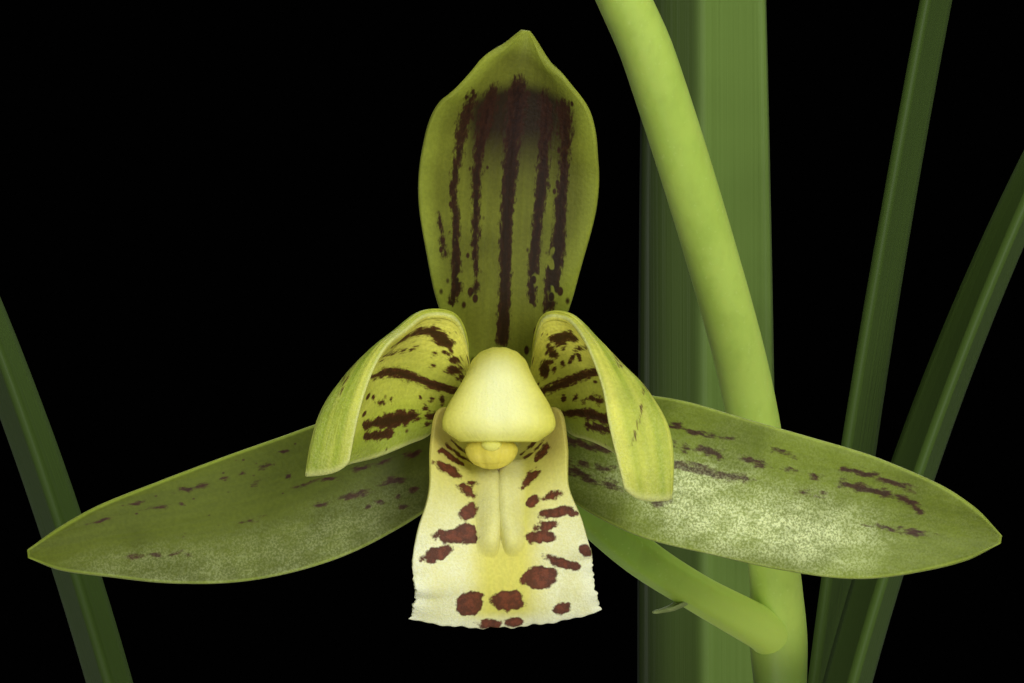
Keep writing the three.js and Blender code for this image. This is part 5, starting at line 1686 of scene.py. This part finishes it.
class ORCHID_OT_buds(bpy.types.Operator):
    """Builds the buds near the top of the stem"""

    bl_idname = "orchid.buds"
    bl_label = "Buds"

    def execute(self, context):
        for number, (node, (reach, up), heading, size) in enumerate(BUDS, 1):
            a = math.radians(heading)

            def way(out, rise, node=node, a=a):
                return node[0] + out * math.sin(a), node[1] - out * math.cos(a), node[2] + rise

            line = [
                (0, *way(0.4, 0), 1.2, 1.2),
                (0.25, *way(reach * 0.45, up * 0.4), 1.1, 1.1),
                (0.48, *way(reach * 0.85, up * 0.8), 1.5 * size, 1.5 * size),
                (0.6, *way(reach, up), 3 * size, 2.9 * size),
                (0.8, *way(reach + 2.4 * size, up + 5 * size), 3 * size, 2.8 * size),
                (1, *way(reach + 5 * size, up + 9 * size), 0.5, 0.5),
            ]
            form = Form()
            form.loft(line, FRONT, 70, 48, finishes()["bud"], bud_seams, bud_layers)
            draw_bract(form, way(0.8, -0.8), way(5.5, 6.5), None)
            stand_for(form.make(f"closed_bud_{number}"), "bud", f"bud_{number}")
        return {"FINISHED"}


# Floor, lights and camera

FLOOR_RADIUS, FLOOR_DROP = 1.6, 0.0004
SENSOR = 36
# Name, place beside the bloom in metres, size and watts
LIGHTS = [
    ("Key light", (0.13, -0.28, 0.07), 0.14, 0.5),
    ("Fill light", (-0.09, -0.29, -0.13), 0.2, 0.29),
    ("Room light", (0.3, -0.9, 1.6), 2.2, 22.0),
    ("Back light", (0.2, 1.4, 1.5), 1.6, 16.0),
]


class ORCHID_OT_stage(bpy.types.Operator):
    """Lays the pale floor and sets the soft lights, the dark surroundings and the camera"""

    bl_idname = "orchid.stage"
    bl_label = "Floor, lights and camera"

    def execute(self, context):
        scene = context.scene
        bpy.ops.mesh.primitive_circle_add(
            vertices=96, radius=FLOOR_RADIUS, fill_type="NGON", location=(0, 0, -FLOOR_DROP)
        )
        floor = context.object
        floor.name = "Floor"
        material = bpy.data.materials.new("Floor")
        material.use_nodes = True
        shader = material.node_tree.nodes["Principled BSDF"]
        shader.inputs["Base Color"].default_value = rgba(scene.orchid_colours.floor)
        shader.inputs["Roughness"].default_value = 0.8
        floor.data.materials.append(material)
        aim = Vector(BLOOM_AT * MM)
        for name, off, size, watts in LIGHTS:
            light = bpy.data.lights.new(name, "AREA")
            light.shape, light.size, light.energy = "DISK", size, watts
            lamp = placed(name, light)
            lamp.location = aim + Vector(off)
            lamp.rotation_euler = (-Vector(off)).to_track_quat("-Z", "Y").to_euler()
            lamp.visible_camera = False
        world = bpy.data.worlds.new("Surroundings")
        world.use_nodes = True
        scene.world = world
        tree = world.node_tree
        tree.nodes.clear()
        pale = wire(tree, "ShaderNodeBackground", (0.9, 0.95, 1.0, 1.0), 0.08)
        dark = wire(tree, "ShaderNodeBackground", (0.0003, 0.0003, 0.0003, 1.0), 1.0)
        direct = wire(tree, "ShaderNodeLightPath")
        mixed = wire(tree, "ShaderNodeMixShader", direct, pale, dark)
        tree.links.new(mixed, tree.nodes.new("ShaderNodeOutputWorld").inputs[0])
        scene.view_settings.view_transform = "Standard"
        camera = bpy.data.cameras.new("Camera")
        camera.sensor_width, camera.lens = SENSOR, SENSOR * CAMERA_AWAY / FRAME_WIDE
        camera.clip_start, camera.clip_end = 0.01, 20
        eye = placed("Camera", camera)
        eye.location = aim + Vector((CAMERA_ASIDE * MM, -CAMERA_AWAY * MM, CAMERA_UP * MM))
        eye.rotation_euler = (math.radians(90), 0, 0)
        scene.camera = eye
        return {"FINISHED"}


class ORCHID_PT_panel(bpy.types.Panel):
    """Lists the parts of the orchid and its main sizes and colours"""

    bl_idname = "ORCHID_PT_panel"
    bl_label = "Orchid"
    bl_space_type = "VIEW_3D"
    bl_region_type = "UI"
    bl_category = "Orchid"

    def draw(self, context):
        for kind in OPERATORS:
            self.layout.operator(kind.bl_idname)
        for group in (context.scene.orchid_sizes, context.scene.orchid_colours):
            box = self.layout.box()
            for name in group.bl_rna.properties.keys():
                if name not in {"rna_type", "name"}:
                    box.prop(group, name)


OPERATORS = (
    ORCHID_OT_pot,
    ORCHID_OT_mix,
    ORCHID_OT_bulbs,
    ORCHID_OT_leaves,
    ORCHID_OT_stem,
    ORCHID_OT_sepals,
    ORCHID_OT_petals,
    ORCHID_OT_lip,
    ORCHID_OT_column,
    ORCHID_OT_stalk,
    ORCHID_OT_upper_blooms,
    ORCHID_OT_buds,
    ORCHID_OT_stage,
)
CLASSES = (OrchidSizes, OrchidColours, *OPERATORS, ORCHID_PT_panel)


def register():
    for kind in CLASSES:
        bpy.utils.register_class(kind)
    bpy.types.Scene.orchid_sizes = PointerProperty(type=OrchidSizes)
    bpy.types.Scene.orchid_colours = PointerProperty(type=OrchidColours)


def unregister():
    del bpy.types.Scene.orchid_colours
    del bpy.types.Scene.orchid_sizes
    for kind in reversed(CLASSES):
        bpy.utils.unregister_class(kind)


def main():
    register()
    for kind in OPERATORS:
        group, name = kind.bl_idname.split(".")
        getattr(getattr(bpy.ops, group), name)()


if __name__ == "__main__":
    main()
